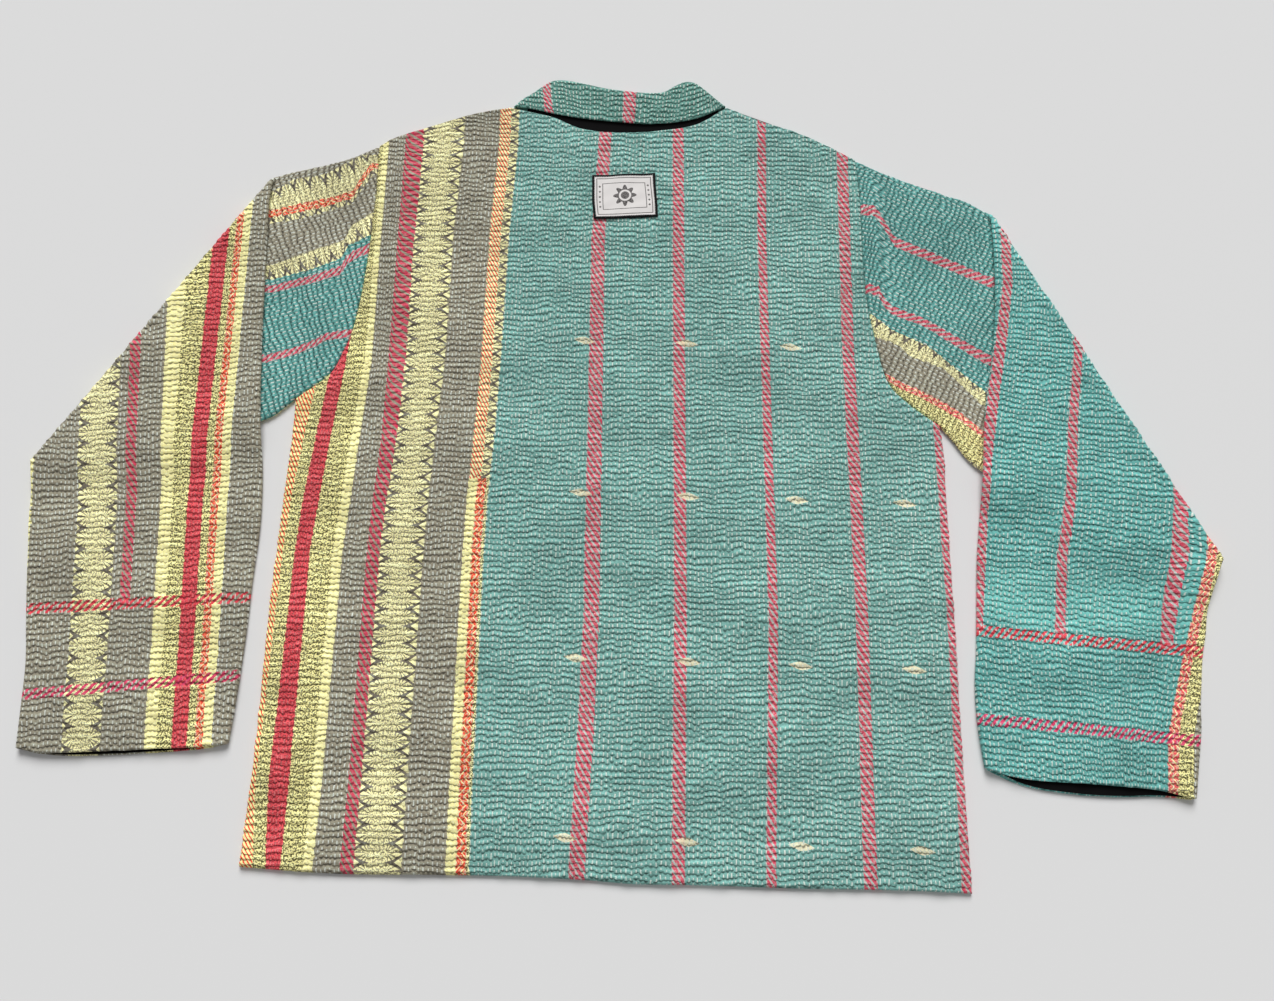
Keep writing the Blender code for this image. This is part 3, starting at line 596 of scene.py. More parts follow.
def skin_with_rim(columns, rows):
    """A flat grid one unit square, with a rim that goes down one unit and is closed below."""
    mesh = bmesh.new()
    bmesh.ops.create_grid(mesh, x_segments=columns, y_segments=rows, size=0.5)
    made = bmesh.ops.extrude_edge_only(mesh, edges=open_edges(mesh))["geom"]
    bmesh.ops.translate(mesh, vec=(0, 0, -1), verts=only(made, bmesh.types.BMVert))
    bottom = bmesh.ops.holes_fill(mesh, edges=open_edges(mesh))["faces"]
    bmesh.ops.triangulate(mesh, faces=bottom)
    bmesh.ops.recalc_face_normals(mesh, faces=mesh.faces)
    return finish_mesh(mesh, "cloth")


def even_columns(share, count, width):
    """Shares across a piece whose outer columns are drawn close together, to round its edges."""
    steps = np.linspace(0, 1, count + 1)
    near = np.array([0.0, 0.5, 1.4, 2.7]) / width
    places = np.linspace(near[-1], 1 - near[-1], count + 1 - 2 * (len(near) - 1))
    return np.interp(share, steps, np.concatenate([near[:-1], places, 1 - near[:-1][::-1]]))


def lay_panel(data, sides, ends, levels, count, fades):
    """Places a unit grid between two sides and two ends, whose curves fade out over these lengths.

    Gives each point's x and y, its depth from 0 to -1, and how far it is inside the edge."""
    grid = read_points(data)
    share = even_columns(grid[:, 0] + 0.5, count, BACK_WIDTH)
    nominal = levels[0] + (levels[1] - levels[0]) * (grid[:, 1] + 0.5)
    y = nominal.copy()
    for _ in range(4):
        left = place_at(sides[0], y)
        right = place_at(sides[1], y)
        x = left + (right - left) * share
        near_hem = np.clip(1 - (nominal - levels[0]) / fades[0], 0, 1)
        near_top = np.clip(1 - (levels[1] - nominal) / fades[1], 0, 1)
        y = nominal
        y = y + (place_at(ends[0], x, 0, 1) - levels[0]) * near_hem
        y = y + (place_at(ends[1], x, 0, 1) - levels[1]) * near_top
    below_top = np.where(near_top > 0, (levels[1] - nominal) * 0.6, BACK_WIDTH)
    inset = np.minimum.reduce([x - left, right - x, y - place_at(ends[0], x, 0, 1), below_top])
    return x, y, grid[:, 2], np.clip(inset, 0, None)


left_side = np.vstack([smooth_curve(table) for table in (SHOULDER_LEFT[::-1], ARMHOLE_LEFT, SIDE_LEFT)])
right_side = np.vstack([smooth_curve(table) for table in (SHOULDER_RIGHT, ARMHOLE_RIGHT, SIDE_RIGHT)])
data = skin_with_rim(BACK_COLUMNS, BACK_ROWS)
x, y, depth, inset = lay_panel(
    data, (left_side, right_side), (smooth_curve(HEM), smooth_curve(BACK_NECK)), (BACK_HEM, BACK_TOP),
    BACK_COLUMNS, (55.0, 48.0))
across = place_on_cloth(x, y, BACK_THREADS)
number, pucker = quilting(across, y, seed=11)
from_label = np.abs(np.column_stack([x, y]) - LABEL_CENTRE) - np.array(LABEL_SIZE) / 2
beside_label = np.clip(from_label.max(axis=1) / 4, 0, 1)
rounding = np.sqrt(1 - (1 - np.clip(inset / EDGE_ROUND, 0, 1)) ** 2)
top = FLAT_HEIGHT - PUCKER_SINK + PUCKER_HEIGHT * pucker * (PRESSED + (1 - PRESSED) * beside_label)
top = top + SLACK_HEIGHT * drift(x, y, 110, 5)
z = np.where(depth < -0.5, LAYER, LAYER + RIM_HEIGHT + (top - LAYER - RIM_HEIGHT) * rounding)
free_edge = np.clip(1 - inset / FREE_EDGE, 0, 1) * (y < UNDERARM_LEVEL)
x = x + np.sign(x) * EDGE_SWELL * (pucker - PUCKER_MEAN) * free_edge
write_points(data, np.stack([x, y, z], 1))
points, _ = corners_of(data)
write_map(data, "cloth", across[points] * MM, y[points] * MM)
write_map(data, "stitch", (across + LINE_WANDER * drift(across, y, 9, 3))[points] * MM, number[points])
finish_piece(
    data, "back_panel", "back", [back_cloth])

# The fronts. Two more panels of the same pieced cloth, which lie face down on the surface under the
# back and meet at its centre. They are seen only as the lower layer at the edges, and from below.
HEM_CENTRE = 5         # the hem's point at which the fronts meet
CENTRE_FRONT = (-6, 265)
LEAF_LEFT = ((-104, 318), (-97, 285), (-80, 250), (-9.5, 268))
LEAF_RIGHT = ((-2.5, 268), (72, 250), (93, 285), (100, 318))
FRONT_EDGE = 0.8       # their edges are rounded by this much


def add_slab(mesh, outline, thickness):
    """Adds a flat closed piece of cloth, with soft edges, that lies on the surface."""
    corners = [mesh.verts.new((*point, 0)) for point in outline]
    rim = [mesh.edges.new((corners[i - 1], corner)) for i, corner in enumerate(corners)]
    bottom = bmesh.ops.triangle_fill(mesh, use_beauty=True, edges=rim)["geom"]
    made = bmesh.ops.extrude_face_region(mesh, geom=only(bottom, bmesh.types.BMFace))
    raised = only(made["geom"], bmesh.types.BMVert)
    bmesh.ops.translate(mesh, vec=(0, 0, thickness), verts=raised)
    near_top = dict.fromkeys(edge for corner in raised for edge in corner.link_edges)
    level_edges = [edge for edge in near_top if abs(edge.verts[0].co.z - edge.verts[1].co.z) < 0.01]
    upper_rim = [edge for edge in level_edges if edge.is_manifold and edge.calc_face_angle() > 1]
    bmesh.ops.bevel(
        mesh, geom=rim + upper_rim, offset=FRONT_EDGE, segments=2, profile=0.5, affect="EDGES", material=-1,
        clamp_overlap=True)


def outline_of(tables):
    """One outline through several edge tables, without repeated points."""
    points = np.vstack([smooth_curve(table, 9.0) for table in tables])
    apart = np.linalg.norm(points - np.roll(points, 1, axis=0), axis=1) > 0.5
    return points[apart]


for name, area, tables in (
    ("front_left", 0.172, (
        ARMHOLE_LEFT, SIDE_LEFT, HEM[:HEM_CENTRE + 1], (CENTRE_FRONT, LEAF_LEFT[3]), LEAF_LEFT[2:0:-1],
        (LEAF_LEFT[0], SHOULDER_LEFT[4]), SHOULDER_LEFT[::-1])),
    ("front_right", 0.171, (
        ARMHOLE_RIGHT, SIDE_RIGHT, HEM[:HEM_CENTRE - 1:-1], (CENTRE_FRONT, LEAF_RIGHT[0]), LEAF_RIGHT[1:3],
        (LEAF_RIGHT[3], SHOULDER_RIGHT[0]), SHOULDER_RIGHT)),
):
    mesh = bmesh.new()
    add_slab(mesh, outline_of(tables), CLOTH)
    bmesh.ops.recalc_face_normals(mesh, faces=mesh.faces)
    data = finish_mesh(mesh, name)
    flat = read_points(data)
    points, _ = corners_of(data)
    write_map(data, "cloth", flat[points, 0] * MM, flat[points, 1] * MM)
    write_map(data, "stitch", flat[points, 0] * MM, flat[points, 1] / PUCKER_PITCH)
    finish_piece(data, name + "_panel", name, [back_cloth])

# The sleeves. Each is a tube of the same quilted cotton, sewn into the armhole and laid flat, and it
# is folded over once on a slanting crease, so its lower part hangs down beside the body. The puckers
# stop where a skin lies on the surface or under the fold.
FOLD_GAP = 1.2
FOLD_AXIS = FLAT_HEIGHT + FOLD_GAP / 2
FOLD_RADIUS = 2.6
FOLD_LENGTH = math.pi * FOLD_RADIUS    # cloth taken up by the half turn
FOLD_CUTS = 9
DROP = FLAT_HEIGHT + FOLD_GAP          # the folded part comes down by this much, on the curve below
DROP_CURVE = ((4, 0.0), (10, 0.06), (18, 0.32), (28, 0.68), (36, 0.94), (42, 1.0))
TUBE_EDGE = 3.0                        # a sleeve's long edges are rounded over this width
INNER_EDGE = 3.2                       # and the hollow inside starts this far in
TUBE_EDGE_COLUMNS = 7
TUBE_SKIN_COLUMNS = 54
SLEEVE_ROW = 1.15                      # from one row of the mesh to the next, outside
INNER_ROW = 9.0                        # and inside
CUFF_OPEN = 1.9                        # the cuff's lower layer sinks by this much at its end,
CUFF_OPEN_START = 80.0                 # from this far before the end,
CUFF_OPEN_LENGTH = 30.0                # over this length
PUCKER_FADE = 5.0                      # puckers start over this length, past the fold and the cover
CUFF_TURN = 0.9                        # the cuff's edge is turned in over this length
CUFF_REACH = 60.0                      # the rows bend to the cuff's own line over this length

SLEEVES = {
    "left": {
        "armhole": ARMHOLE_LEFT,
        "crease": ((-324.8, 256.4), (-505, -15)),
        "top_near": ((-229, 298), (-256, 285), (-279, 278), (-302, 272), (-317, 268)),
        "top_far": (
            (-326, 235), (-324, 188), (-321, 118), (-317, 51), (-313, 5), (-309, -41), (-308, -76),
            (-310, -120), (-311, -162), (-314, -219), (-317, -254)),
        "under_near": ((-287, 44), (-297, 35), (-314, 24), (-360, 14), (-430, 2), (-488, -9)),
        "under_far": (
            (-508, -32), (-507, -62), (-503.5, -93), (-499.5, -127), (-495, -161), (-491, -190),
            (-489, -219), (-488, -258)),
        "cuff": ((-317, -254), (-340, -257), (-380, -258.5), (-421, -260.5), (-461, -261.5), (-488, -258)),
        "stripes": -87.0,            # where the folded part's stripes point, in degrees from +X
        "drop_line": ((-314, 22), (-497, -12)),
        "cover_line": ((-327, 252), (-313, 10)),
        "under_layer_longer": 3.0,
        "buckle": None,
    },
    "right": {
        "armhole": ARMHOLE_RIGHT,
        "crease": ((336, 226), (503.7, -100)),
        "top_near": ((220, 283), (243, 270.5), (261, 262.5), (284, 253.5), (306, 244.5), (325, 237)),
        "top_far": (
            (340.5, 190), (336.5, 128), (329.5, 80), (319.5, 32), (313, -23), (309, -59), (303, -102),
            (299, -145), (296, -178), (292.5, -207), (292, -239), (295, -274)),
        "under_near": ((280, 18), (290, 5), (312, -22), (360, -46), (430, -74), (488, -96)),
        "under_far": (
            (502, -118), (492.5, -144.5), (488, -165.5), (482.5, -186), (475.5, -227), (474, -239),
            (468, -267), (461.5, -298)),
        "cuff": ((295, -274), (325, -282), (365, -285), (409, -288.5), (432, -291), (461.5, -298)),
        "stripes": -96.0,
        "drop_line": ((312, -24), (504, -108)),
        "cover_line": ((341, 205), (309, -30)),
        "under_layer_longer": 9.0,
        "buckle": ((232, 272), (235, 128)),   # a soft ridge in the slack cloth beside the armhole
    },
}
BUCKLE_WIDTH = 7.5                     # half of the ridge's width at a third of its height
BUCKLE_HEIGHT = 5.0

# Threads of the sleeves' cloth: on the upper part as x and y, on the folded part as y and x
LEFT_UPPER_THREADS = (
    (79.5, ((-316.5, 81), (-294.5, 87.5), (-274.5, 96), (-264, 102.5), (-245, 105.5))),
    (148.5, ((-316, 150), (-284.5, 158.5), (-256, 167.5), (-251.5, 177), (-244, 184.5), (-231, 191))),
    (159.5, ((-318, 158), (-285, 167), (-257, 179), (-251, 191.5), (-230.5, 203))),
    (173.5, ((-320.5, 173.5), (-287, 187), (-255, 199), (-249.5, 214), (-230.5, 228))),
    (218.0, ((-324.5, 215.5), (-293, 221), (-251, 236), (-239, 256), (-231.5, 268))),
    (231.5, ((-323.5, 230), (-298.5, 236.5), (-269.5, 243), (-250, 250), (-243, 266), (-235, 280))),
    (252.0, ((-326, 249), (-306, 262), (-276.5, 268), (-244.5, 288))),
)
LEFT_UPPER_BANDS = (
    (-60.0, DEEP_TEAL, DEEP_TEAL, PLAIN),
    (75.5, MAUVE, PINK_RED, STROKES),
    (83.0, DEEP_TEAL, DEEP_TEAL, PLAIN),
    (144.0, MAUVE, PINK_RED, STROKES),
    (152.5, DEEP_TEAL, DEEP_TEAL, PLAIN),
    (159.5, SHADED_GREY, PALE_YELLOW, FLOWERS),
    (173.5, GREY, GREY, PLAIN),
    (218.0, SHADED_GREY, PALE_YELLOW, FLOWERS),
    (224.0, PALE_YELLOW, ORANGE, ZIGZAGS),
    (231.5, SHADED_GREY, PALE_YELLOW, FLOWERS),
    (252.0, GREY, GREY, PLAIN),
)
LEFT_LOWER_THREADS = (
    (-505.0, ((-260, -489), (-48.5, -505))),
    (-465.5, ((-260, -450), (-48.5, -465.5), (100, -478))),
    (-432.5, ((-260, -419), (-48.5, -432.5), (200, -453))),
    (-394.5, ((-260, -383), (-48.5, -394.5), (200, -412))),
    (-371.5, ((-260, -361), (-48.5, -371.5), (200, -372))),
    (-358.5, ((-260, -349), (-48.5, -358.5), (200, -359))),
    (-337.5, ((-260, -329), (-48.5, -337.5), (200, -340))),
)
LEFT_LOWER_BANDS = (
    (-560.0, YELLOW, YELLOW, PLAIN),
    (-505.0, GREY, GREY, PLAIN),
    (-465.5, SHADED_GREY, PALE_YELLOW, FLOWERS),
    (-432.5, GREY, GREY, PLAIN),
    (-424.5, GREY, CRIMSON, STROKES),
    (-416.5, GREY, GREY, PLAIN),
    (-394.5, YELLOW, PALE_YELLOW, SPECKLES),
    (-385.5, YELLOW, KHAKI, SPECKLES),
    (-371.5, RED, DEEP_RED, SPECKLES),
    (-358.5, YELLOW, KHAKI, SPECKLES),
    (-352.0, PALE_YELLOW, ORANGE, ZIGZAGS),
    (-345.5, YELLOW, PALE_YELLOW, SPECKLES),
    (-337.5, GREY, GREY, PLAIN),
)
LEFT_CUFF_BANDS = tuple(
    (place, ground, ground, PLAIN) if kind == STROKES else (place, ground, figure, kind)
    for place, ground, figure, kind in LEFT_LOWER_BANDS)
RIGHT_UPPER_THREADS = (
    (55.0, ((236, 44), (262, 31), (317, -9))),
    (78.0, ((236, 67.5), (249, 58.5), (262.5, 53), (282, 42), (298, 31.5), (316.5, 14))),
    (98.0, ((230, 102.5), (248.5, 95), (257.5, 84), (286, 73), (297, 62), (318.5, 37))),
    (113.0, ((226, 125), (247, 107), (257.5, 102.5), (274, 95), (294.5, 75), (313.5, 57), (323, 49.5))),
    (145.0, ((225, 149.5), (234, 144.5), (237, 136), (244.5, 128), (271.5, 117), (281.5, 110.5),
             (329.5, 79.5))),
    (225.0, ((222, 230), (234, 226), (240.5, 218), (245, 210.5), (251, 197), (269.5, 188), (334.5, 156.5))),
)
RIGHT_UPPER_BANDS = (
    (-60.0, SHADED_GREY, PALE_YELLOW, FLOWERS),
    (40.0, YELLOW, KHAKI, SPECKLES),
    (70.0, PALE_YELLOW, RED, ZIGZAGS),
    (78.0, GREY, GREY, PLAIN),
    (98.0, SHADED_GREY, PALE_YELLOW, FLOWERS),
    (113.0, DEEP_TEAL, DEEP_TEAL, PLAIN),
    (139.5, MAUVE, PINK_RED, STROKES),
    (150.0, DEEP_TEAL, DEEP_TEAL, PLAIN),
    (219.5, MAUVE, PINK_RED, STROKES),
    (230.0, DEEP_TEAL, DEEP_TEAL, PLAIN),
)
RIGHT_LOWER_THREADS = (
    (313.0, ((-158.5, 297.5), (-118.5, 302.5), (-18.5, 314.5), (41.5, 326.5), (101.5, 339.5), (151.5, 349.5),
             (191.5, 351.5))),
    (385.0, ((-158.5, 366.5), (-98.5, 374.5), (-38.5, 386.5), (21.5, 394.5), (86.5, 406.5))),
    (470.0, ((-293.5, 424.5), (-248.5, 431.0), (-218.5, 440.5), (-168.5, 453.5), (-138.5, 459.5),
             (-98.5, 469.5), (-48.5, 478.5))),
    (484.0, ((-293.5, 438.5), (-248.5, 444.5), (-218.5, 454.5), (-188.5, 464.5), (-133.5, 484.5),
             (-93.5, 496.5))),
    (504.0, ((-293.5, 458.5), (-248.5, 464.5), (-218.5, 474.5), (-188.5, 484.5), (-133.5, 504.5),
             (-93.5, 516.5))),
)
RIGHT_LOWER_BANDS = (
    (250.0, LIGHT_TEAL, LIGHT_TEAL, PLAIN),
    (308.5, MAUVE, PINK_RED, STROKES),
    (317.5, LIGHT_TEAL, LIGHT_TEAL, PLAIN),
    (380.5, MAUVE, PINK_RED, STROKES),
    (389.5, LIGHT_TEAL, LIGHT_TEAL, PLAIN),
    (465.5, MAUVE, PINK_RED, STROKES),
    (474.5, LIGHT_TEAL, LIGHT_TEAL, PLAIN),
    (484.0, PALE_YELLOW, RED, ZIGZAGS),
    (492.0, YELLOW, KHAKI, SPECKLES),
    (504.0, GREY, GREY, PLAIN),
)
RIGHT_CUFF_BANDS = (
    (250.0, LIGHT_TEAL, LIGHT_TEAL, PLAIN),
    (484.0, PALE_YELLOW, RED, ZIGZAGS),
    (492.0, YELLOW, KHAKI, SPECKLES),
    (504.0, GREY, GREY, PLAIN),
)


def heading(degrees):
    """The unit vector at this angle from +X."""
    return np.array((math.cos(math.radians(degrees)), math.sin(math.radians(degrees))))


def facing(direction, towards):
    """A unit vector across this direction, on the side that faces the other one."""
    side = np.array((-direction[1], direction[0])) / np.linalg.norm(direction)
    return side if side @ towards > 0 else -side


def make_sleeve(name, table, threads, cloths, seed):
    """A flattened, quilted tube, open at the cuff and folded over once on its crease.

    The threads and the cloths are the upper part's and then the folded part's."""
    first, last = (np.array(point, float) for point in table["crease"])
    body = np.array(table["armhole"][len(table["armhole"]) // 2], float)
    out = facing(last - first, first - body)
    hang = heading(table["stripes"])
    stitching = hang - 2 * out * (out @ hang)
    row = np.array((-stitching[1], stitching[0]))

    def beyond(points):
        """How far points of the flat pattern lie past the crease."""
        return (points - first) @ out

    def turn_over(points):
        """Points of the flat pattern as they lie in the folded part, or the other way round."""
        return points + np.outer(FOLD_LENGTH - 2 * beyond(points), out)

    def on_pattern(points):
        """Each point's place across the stitching, and its level along it."""
        return np.stack([points @ row, points @ stitching], 1)

    top, under = (
        on_pattern(smooth_curve(list(table[near]) + turn_over(np.array(table[far], float)).tolist()))
        for near, far in (("top_near", "top_far"), ("under_near", "under_far")))
    under = np.vstack([on_pattern(smooth_curve(table["armhole"])), under])
    cuff = on_pattern(turn_over(smooth_curve(table["cuff"])))
    cuff_level = cuff[:, 1].mean()
    start = top[0, 1] + 0.3

    # Columns run from the top edge over the upper skin, round the underarm edge and back below. Rows
    # run from the armhole to the cuff outside, round the cuff's edge, and back inside
    curve = np.arange(1, TUBE_EDGE_COLUMNS + 1) / (TUBE_EDGE_COLUMNS + 1) * math.pi
    skin = np.linspace(0, 1, TUBE_SKIN_COLUMNS + 1)
    ones = np.ones(len(skin))
    edge_in = TUBE_EDGE * (1 - np.sin(curve))
    edge_height = 0.5 + 0.5 * np.cos(curve)
    share = np.concatenate([skin, np.ones(len(curve)), skin[::-1], np.zeros(len(curve)), [0]])
    on_skin = TUBE_EDGE * ones
    aside = np.concatenate([on_skin, 2 * TUBE_EDGE - edge_in, on_skin, edge_in, [TUBE_EDGE]])
    height = np.concatenate([ones, edge_height, 0 * ones, edge_height[::-1], [1]])
    outer_rows = round((cuff_level - start) / SLEEVE_ROW)
    inner_rows = round((cuff_level - start) / INNER_ROW)
    before_turn = cuff_level - CUFF_TURN
    levels = np.concatenate([
        np.linspace(start, before_turn, outer_rows + 1), [cuff_level],
        np.linspace(before_turn, start, inner_rows)])
    inside = np.concatenate([np.zeros(outer_rows + 1), [0.5], np.ones(inner_rows)])

    mesh = bmesh.new()
    bmesh.ops.create_grid(mesh, x_segments=len(share) - 1, y_segments=len(levels) - 1, size=0.5)
    data = finish_mesh(mesh, name)
    grid = read_points(data)
    column = np.round((grid[:, 0] + 0.5) * (len(share) - 1)).astype(int)
    in_row = np.round((grid[:, 1] + 0.5) * (len(levels) - 1)).astype(int)
    share, height, nominal, inside = share[column], height[column], levels[in_row], inside[in_row]
    inner_aside = TUBE_EDGE + (INNER_EDGE - TUBE_EDGE) * (1 - 2 * share)
    aside = aside[column] * (1 - inside) + inner_aside * inside
    level = nominal
    near_cuff = np.clip(1 - (cuff_level - nominal) / CUFF_REACH, 0, 1)
    longer = np.where(height > 0.5, table["under_layer_longer"], 0) * near_cuff
    for _ in range(3):
        top_place = place_at(top, level)
        under_place = place_at(under, level)
        width = np.abs(under_place - top_place)
        towards = np.sign(under_place - top_place)
        small = np.minimum(1, width / (2.4 * TUBE_EDGE))
        place = top_place + towards * (aside * small + share * np.maximum(width - 2 * TUBE_EDGE * small, 0))
        level = nominal + (place_at(cuff, place, 0, 1) - cuff_level) * near_cuff
        way_over = np.clip((place - top_place) / (width + 1e-6) * towards, 0, 1)
        level = level + longer * np.sin(math.pi * way_over)
    outer_height = FLAT_HEIGHT * height
    inner_height = CLOTH + HOLLOW * height
    z = (outer_height * (1 - inside) + inner_height * inside) * np.sqrt(np.minimum(1, width / 10 + 0.05))
    flat = np.outer(level, stitching) + np.outer(place, row)
    write_points(data, np.column_stack([flat, z]))

    mesh = bmesh.new()
    mesh.from_mesh(data)
    bmesh.ops.remove_doubles(mesh, verts=mesh.verts, dist=1e-3)
    bmesh.ops.bridge_loops(mesh, edges=open_edges(mesh))
    for k in range(FOLD_CUTS + 1):
        point = first + out * FOLD_LENGTH * k / FOLD_CUTS
        geometry = mesh.verts[:] + mesh.edges[:] + mesh.faces[:]
        bmesh.ops.bisect_plane(mesh, geom=geometry, dist=1e-4, plane_co=(*point, 0), plane_no=(*out, 0))
    bmesh.ops.recalc_face_normals(mesh, faces=mesh.faces)
    mesh.to_mesh(data)
    mesh.free()

    # Each skin's own cloth coordinates
    points = read_points(data)
    flat = points[:, :2]
    z = points[:, 2]
    place = flat @ row
    level = flat @ stitching
    past = beyond(flat)
    laid = turn_over(flat)
    bulge = np.zeros(len(flat))
    if table["buckle"]:
        head, foot = (np.array(point, float) for point in table["buckle"])
        down_buckle = np.clip((flat - head) @ (foot - head) / ((foot - head) @ (foot - head)), 0, 1)
        away = np.linalg.norm(flat - head - np.outer(down_buckle, foot - head), axis=1)
        bulge = np.exp(-((away / BUCKLE_WIDTH) ** 2)) * np.sqrt(np.sin(math.pi * down_buckle))
    upper_across = place_on_cloth(flat[:, 1], flat[:, 0], threads[0])
    lower_across = place_on_cloth(laid[:, 0], laid[:, 1], threads[1])
    upper_number, upper_pucker = quilting(place, level + 6 * bulge, seed)
    lower_number, lower_pucker = quilting(laid[:, 0], -laid @ hang, seed + 20)

    corners, faces = corners_of(data)
    face_height = np.bincount(faces, z[corners]) / np.bincount(faces)
    face_past = np.bincount(faces, past[corners]) / np.bincount(faces)
    upper_faces = (face_height > FLAT_HEIGHT / 2) & (face_past < FOLD_LENGTH)
    data.polygons.foreach_set("material_index", (~upper_faces).astype(np.int32))
    is_upper = upper_faces[faces]

    def pick(upper, lower):
        """At each corner, the upper part's value or the folded part's."""
        return np.where(is_upper, upper[corners], lower[corners])

    write_map(data, "cloth", pick(upper_across, lower_across) * MM, pick(level, laid[:, 1]) * MM)
    write_map(data, "stitch", pick(place, lower_across) * MM, pick(upper_number, lower_number))

    # Puckers, the open cuff, the fold, and the folded part's way down to the surface
    cover_start, cover_end = (np.array(point, float) for point in table["cover_line"])
    uncovered = facing(cover_end - cover_start, np.array(table["armhole"][0]) - cover_start)
    shown = np.clip(((flat - cover_start) @ uncovered + 4) / PUCKER_FADE, 0, 1)
    shown = shown * np.clip((2 - past) / PUCKER_FADE, 0, 1)
    from_middle = np.abs(z / FLAT_HEIGHT - 0.5)
    outer = np.clip(from_middle * 2, 0, 1)
    swell = EDGE_SWELL * (np.where(past > 0, lower_pucker, upper_pucker) - PUCKER_MEAN)
    swell = swell * (outer < 0.95) * (from_middle > 0.07)
    middle = (place_at(top, level) + place_at(under, level)) / 2
    flat = flat + np.outer(swell * np.sign(place - middle) * (1 - outer), row)
    outer = np.where(outer > 0.3, outer, 0)
    upper_lift = (PUCKER_HEIGHT * 0.7 * upper_pucker - PUCKER_SINK) * shown + BUCKLE_HEIGHT * bulge
    lower_lift = (PUCKER_HEIGHT * lower_pucker - PUCKER_SINK) * np.clip(past / PUCKER_FADE, 0, 1)
    opening = np.clip((level - level.max() + CUFF_OPEN_START) / CUFF_OPEN_LENGTH, 0, 1)
    lift = np.where(z < FLAT_HEIGHT / 2, -lower_lift, upper_lift)
    z = z + outer * lift - np.where(z < FLAT_HEIGHT * 0.51, CUFF_OPEN * opening, 0)
    angle = math.pi * np.clip(past / FOLD_LENGTH, 0, 1)
    radius = FOLD_AXIS - z
    reach = radius * np.sin(angle) - np.maximum(0, past - FOLD_LENGTH)
    folded = np.where((past > 0)[:, None], flat + np.outer(reach - past, out), flat)
    z = np.where(past > 0, FOLD_AXIS - radius * np.cos(angle), z)
    drop_start, drop_end = (np.array(point, float) for point in table["drop_line"])
    drop_way = facing(drop_end - drop_start, np.array((0, -1)))
    dropped = DROP * np.interp((folded - drop_start) @ drop_way, *np.array(DROP_CURVE).T)
    z = np.where(z > FOLD_AXIS, z - dropped, z)
    write_points(data, np.column_stack([folded, np.maximum(z, 0)]))
    finish_piece(data, name + "_tube", name, cloths)


# The level and slope of the line where each cuff's cloth starts, and the dyes of its stripes
LEFT_CUFF_SEAM = (-117.2, -0.053)
RIGHT_CUFF_SEAM = (-132.0, 0.096)
SEAM_RED = "D23C48"
LEFT_CUFF_PINK = "CC3A5E"
RIGHT_CUFF_PINK = "CC3A62"

make_sleeve(
    "sleeve_left", SLEEVES["left"], (LEFT_UPPER_THREADS, LEFT_LOWER_THREADS),
    [
        quilted_cotton("left_upper_sleeve_quilted_cotton", LEFT_UPPER_BANDS, (235.0, 177.0)),
        quilted_cotton(
            "left_lower_sleeve_quilted_cotton", LEFT_LOWER_BANDS, (-449.0,),
            lower=(*LEFT_CUFF_SEAM, LEFT_CUFF_BANDS), repeat_length=18.5,
            cross_stripes=((*LEFT_CUFF_SEAM, 9.5, SEAM_RED), (-171.9, -0.086, 9.0, LEFT_CUFF_PINK))),
    ],
    31)
make_sleeve(
    "sleeve_right", SLEEVES["right"], (RIGHT_UPPER_THREADS, RIGHT_LOWER_THREADS),
    [
        quilted_cotton(
            "right_upper_sleeve_quilted_cotton", RIGHT_UPPER_BANDS, (97.0, 30.0), lean=-1.0, shading=0.85),
        quilted_cotton(
            "right_lower_sleeve_quilted_cotton", RIGHT_LOWER_BANDS, (494.0,),
            lower=(*RIGHT_CUFF_SEAM, RIGHT_CUFF_BANDS),
            cross_stripes=((*RIGHT_CUFF_SEAM, 9.5, SEAM_RED), (-208.3, 0.086, 9.5, RIGHT_CUFF_PINK)),
            pale_zone=(-100.0, 0.096, 44.0)),
    ],
    51)

# The cuff linings. A strip of plain black cotton is felled inside each cuff, on the layer that comes
# lower, and shows past the upper one.
LINING = 0.7           # thickness of plain black cotton
LINING_DEPTH = 42.0
LINING_INSET = 5.0
LINING_BACK = 1.0      # it stops this far inside the cuff's edge
LINING_LEVEL = CLOTH + 0.3
LINING_COLUMNS = 40
LINING_ROWS = 12


def plain_black_cotton():
    """Plain-woven cotton, dyed black: matt, with a faint weave and no shine."""
    material, tree, add = new_material("plain_black_cotton")
    place = add("TexCoord", output="Object")
    weave = add("TexNoise", {"Vector": place, "Scale": 1400.0, "Detail": 2.0})
    bump = add("Bump", {"Strength": 0.4, "Distance": 0.0003, "Height": weave})
    set_inputs(tree, tree.nodes["Principled BSDF"], {
        "Base Color": linear("0E0D0E"), "Normal": bump, "Roughness": 0.95, "Specular IOR Level": 0.1})
    return material


black_cotton = plain_black_cotton()


def lay_strip(data, lower, upper, low, thickness):
    """Places a unit grid with a rim between two curves of the same count of points."""
    grid = read_points(data)
    steps = np.linspace(0, 1, len(lower))
    start, end = (
        np.column_stack([np.interp(grid[:, 0] + 0.5, steps, curve[:, i]) for i in (0, 1)])
        for curve in (lower, upper))
    flat = start + (end - start) * (grid[:, 1] + 0.5)[:, None]
    write_points(data, np.column_stack([flat, low + thickness * (grid[:, 2] > -0.5)]))


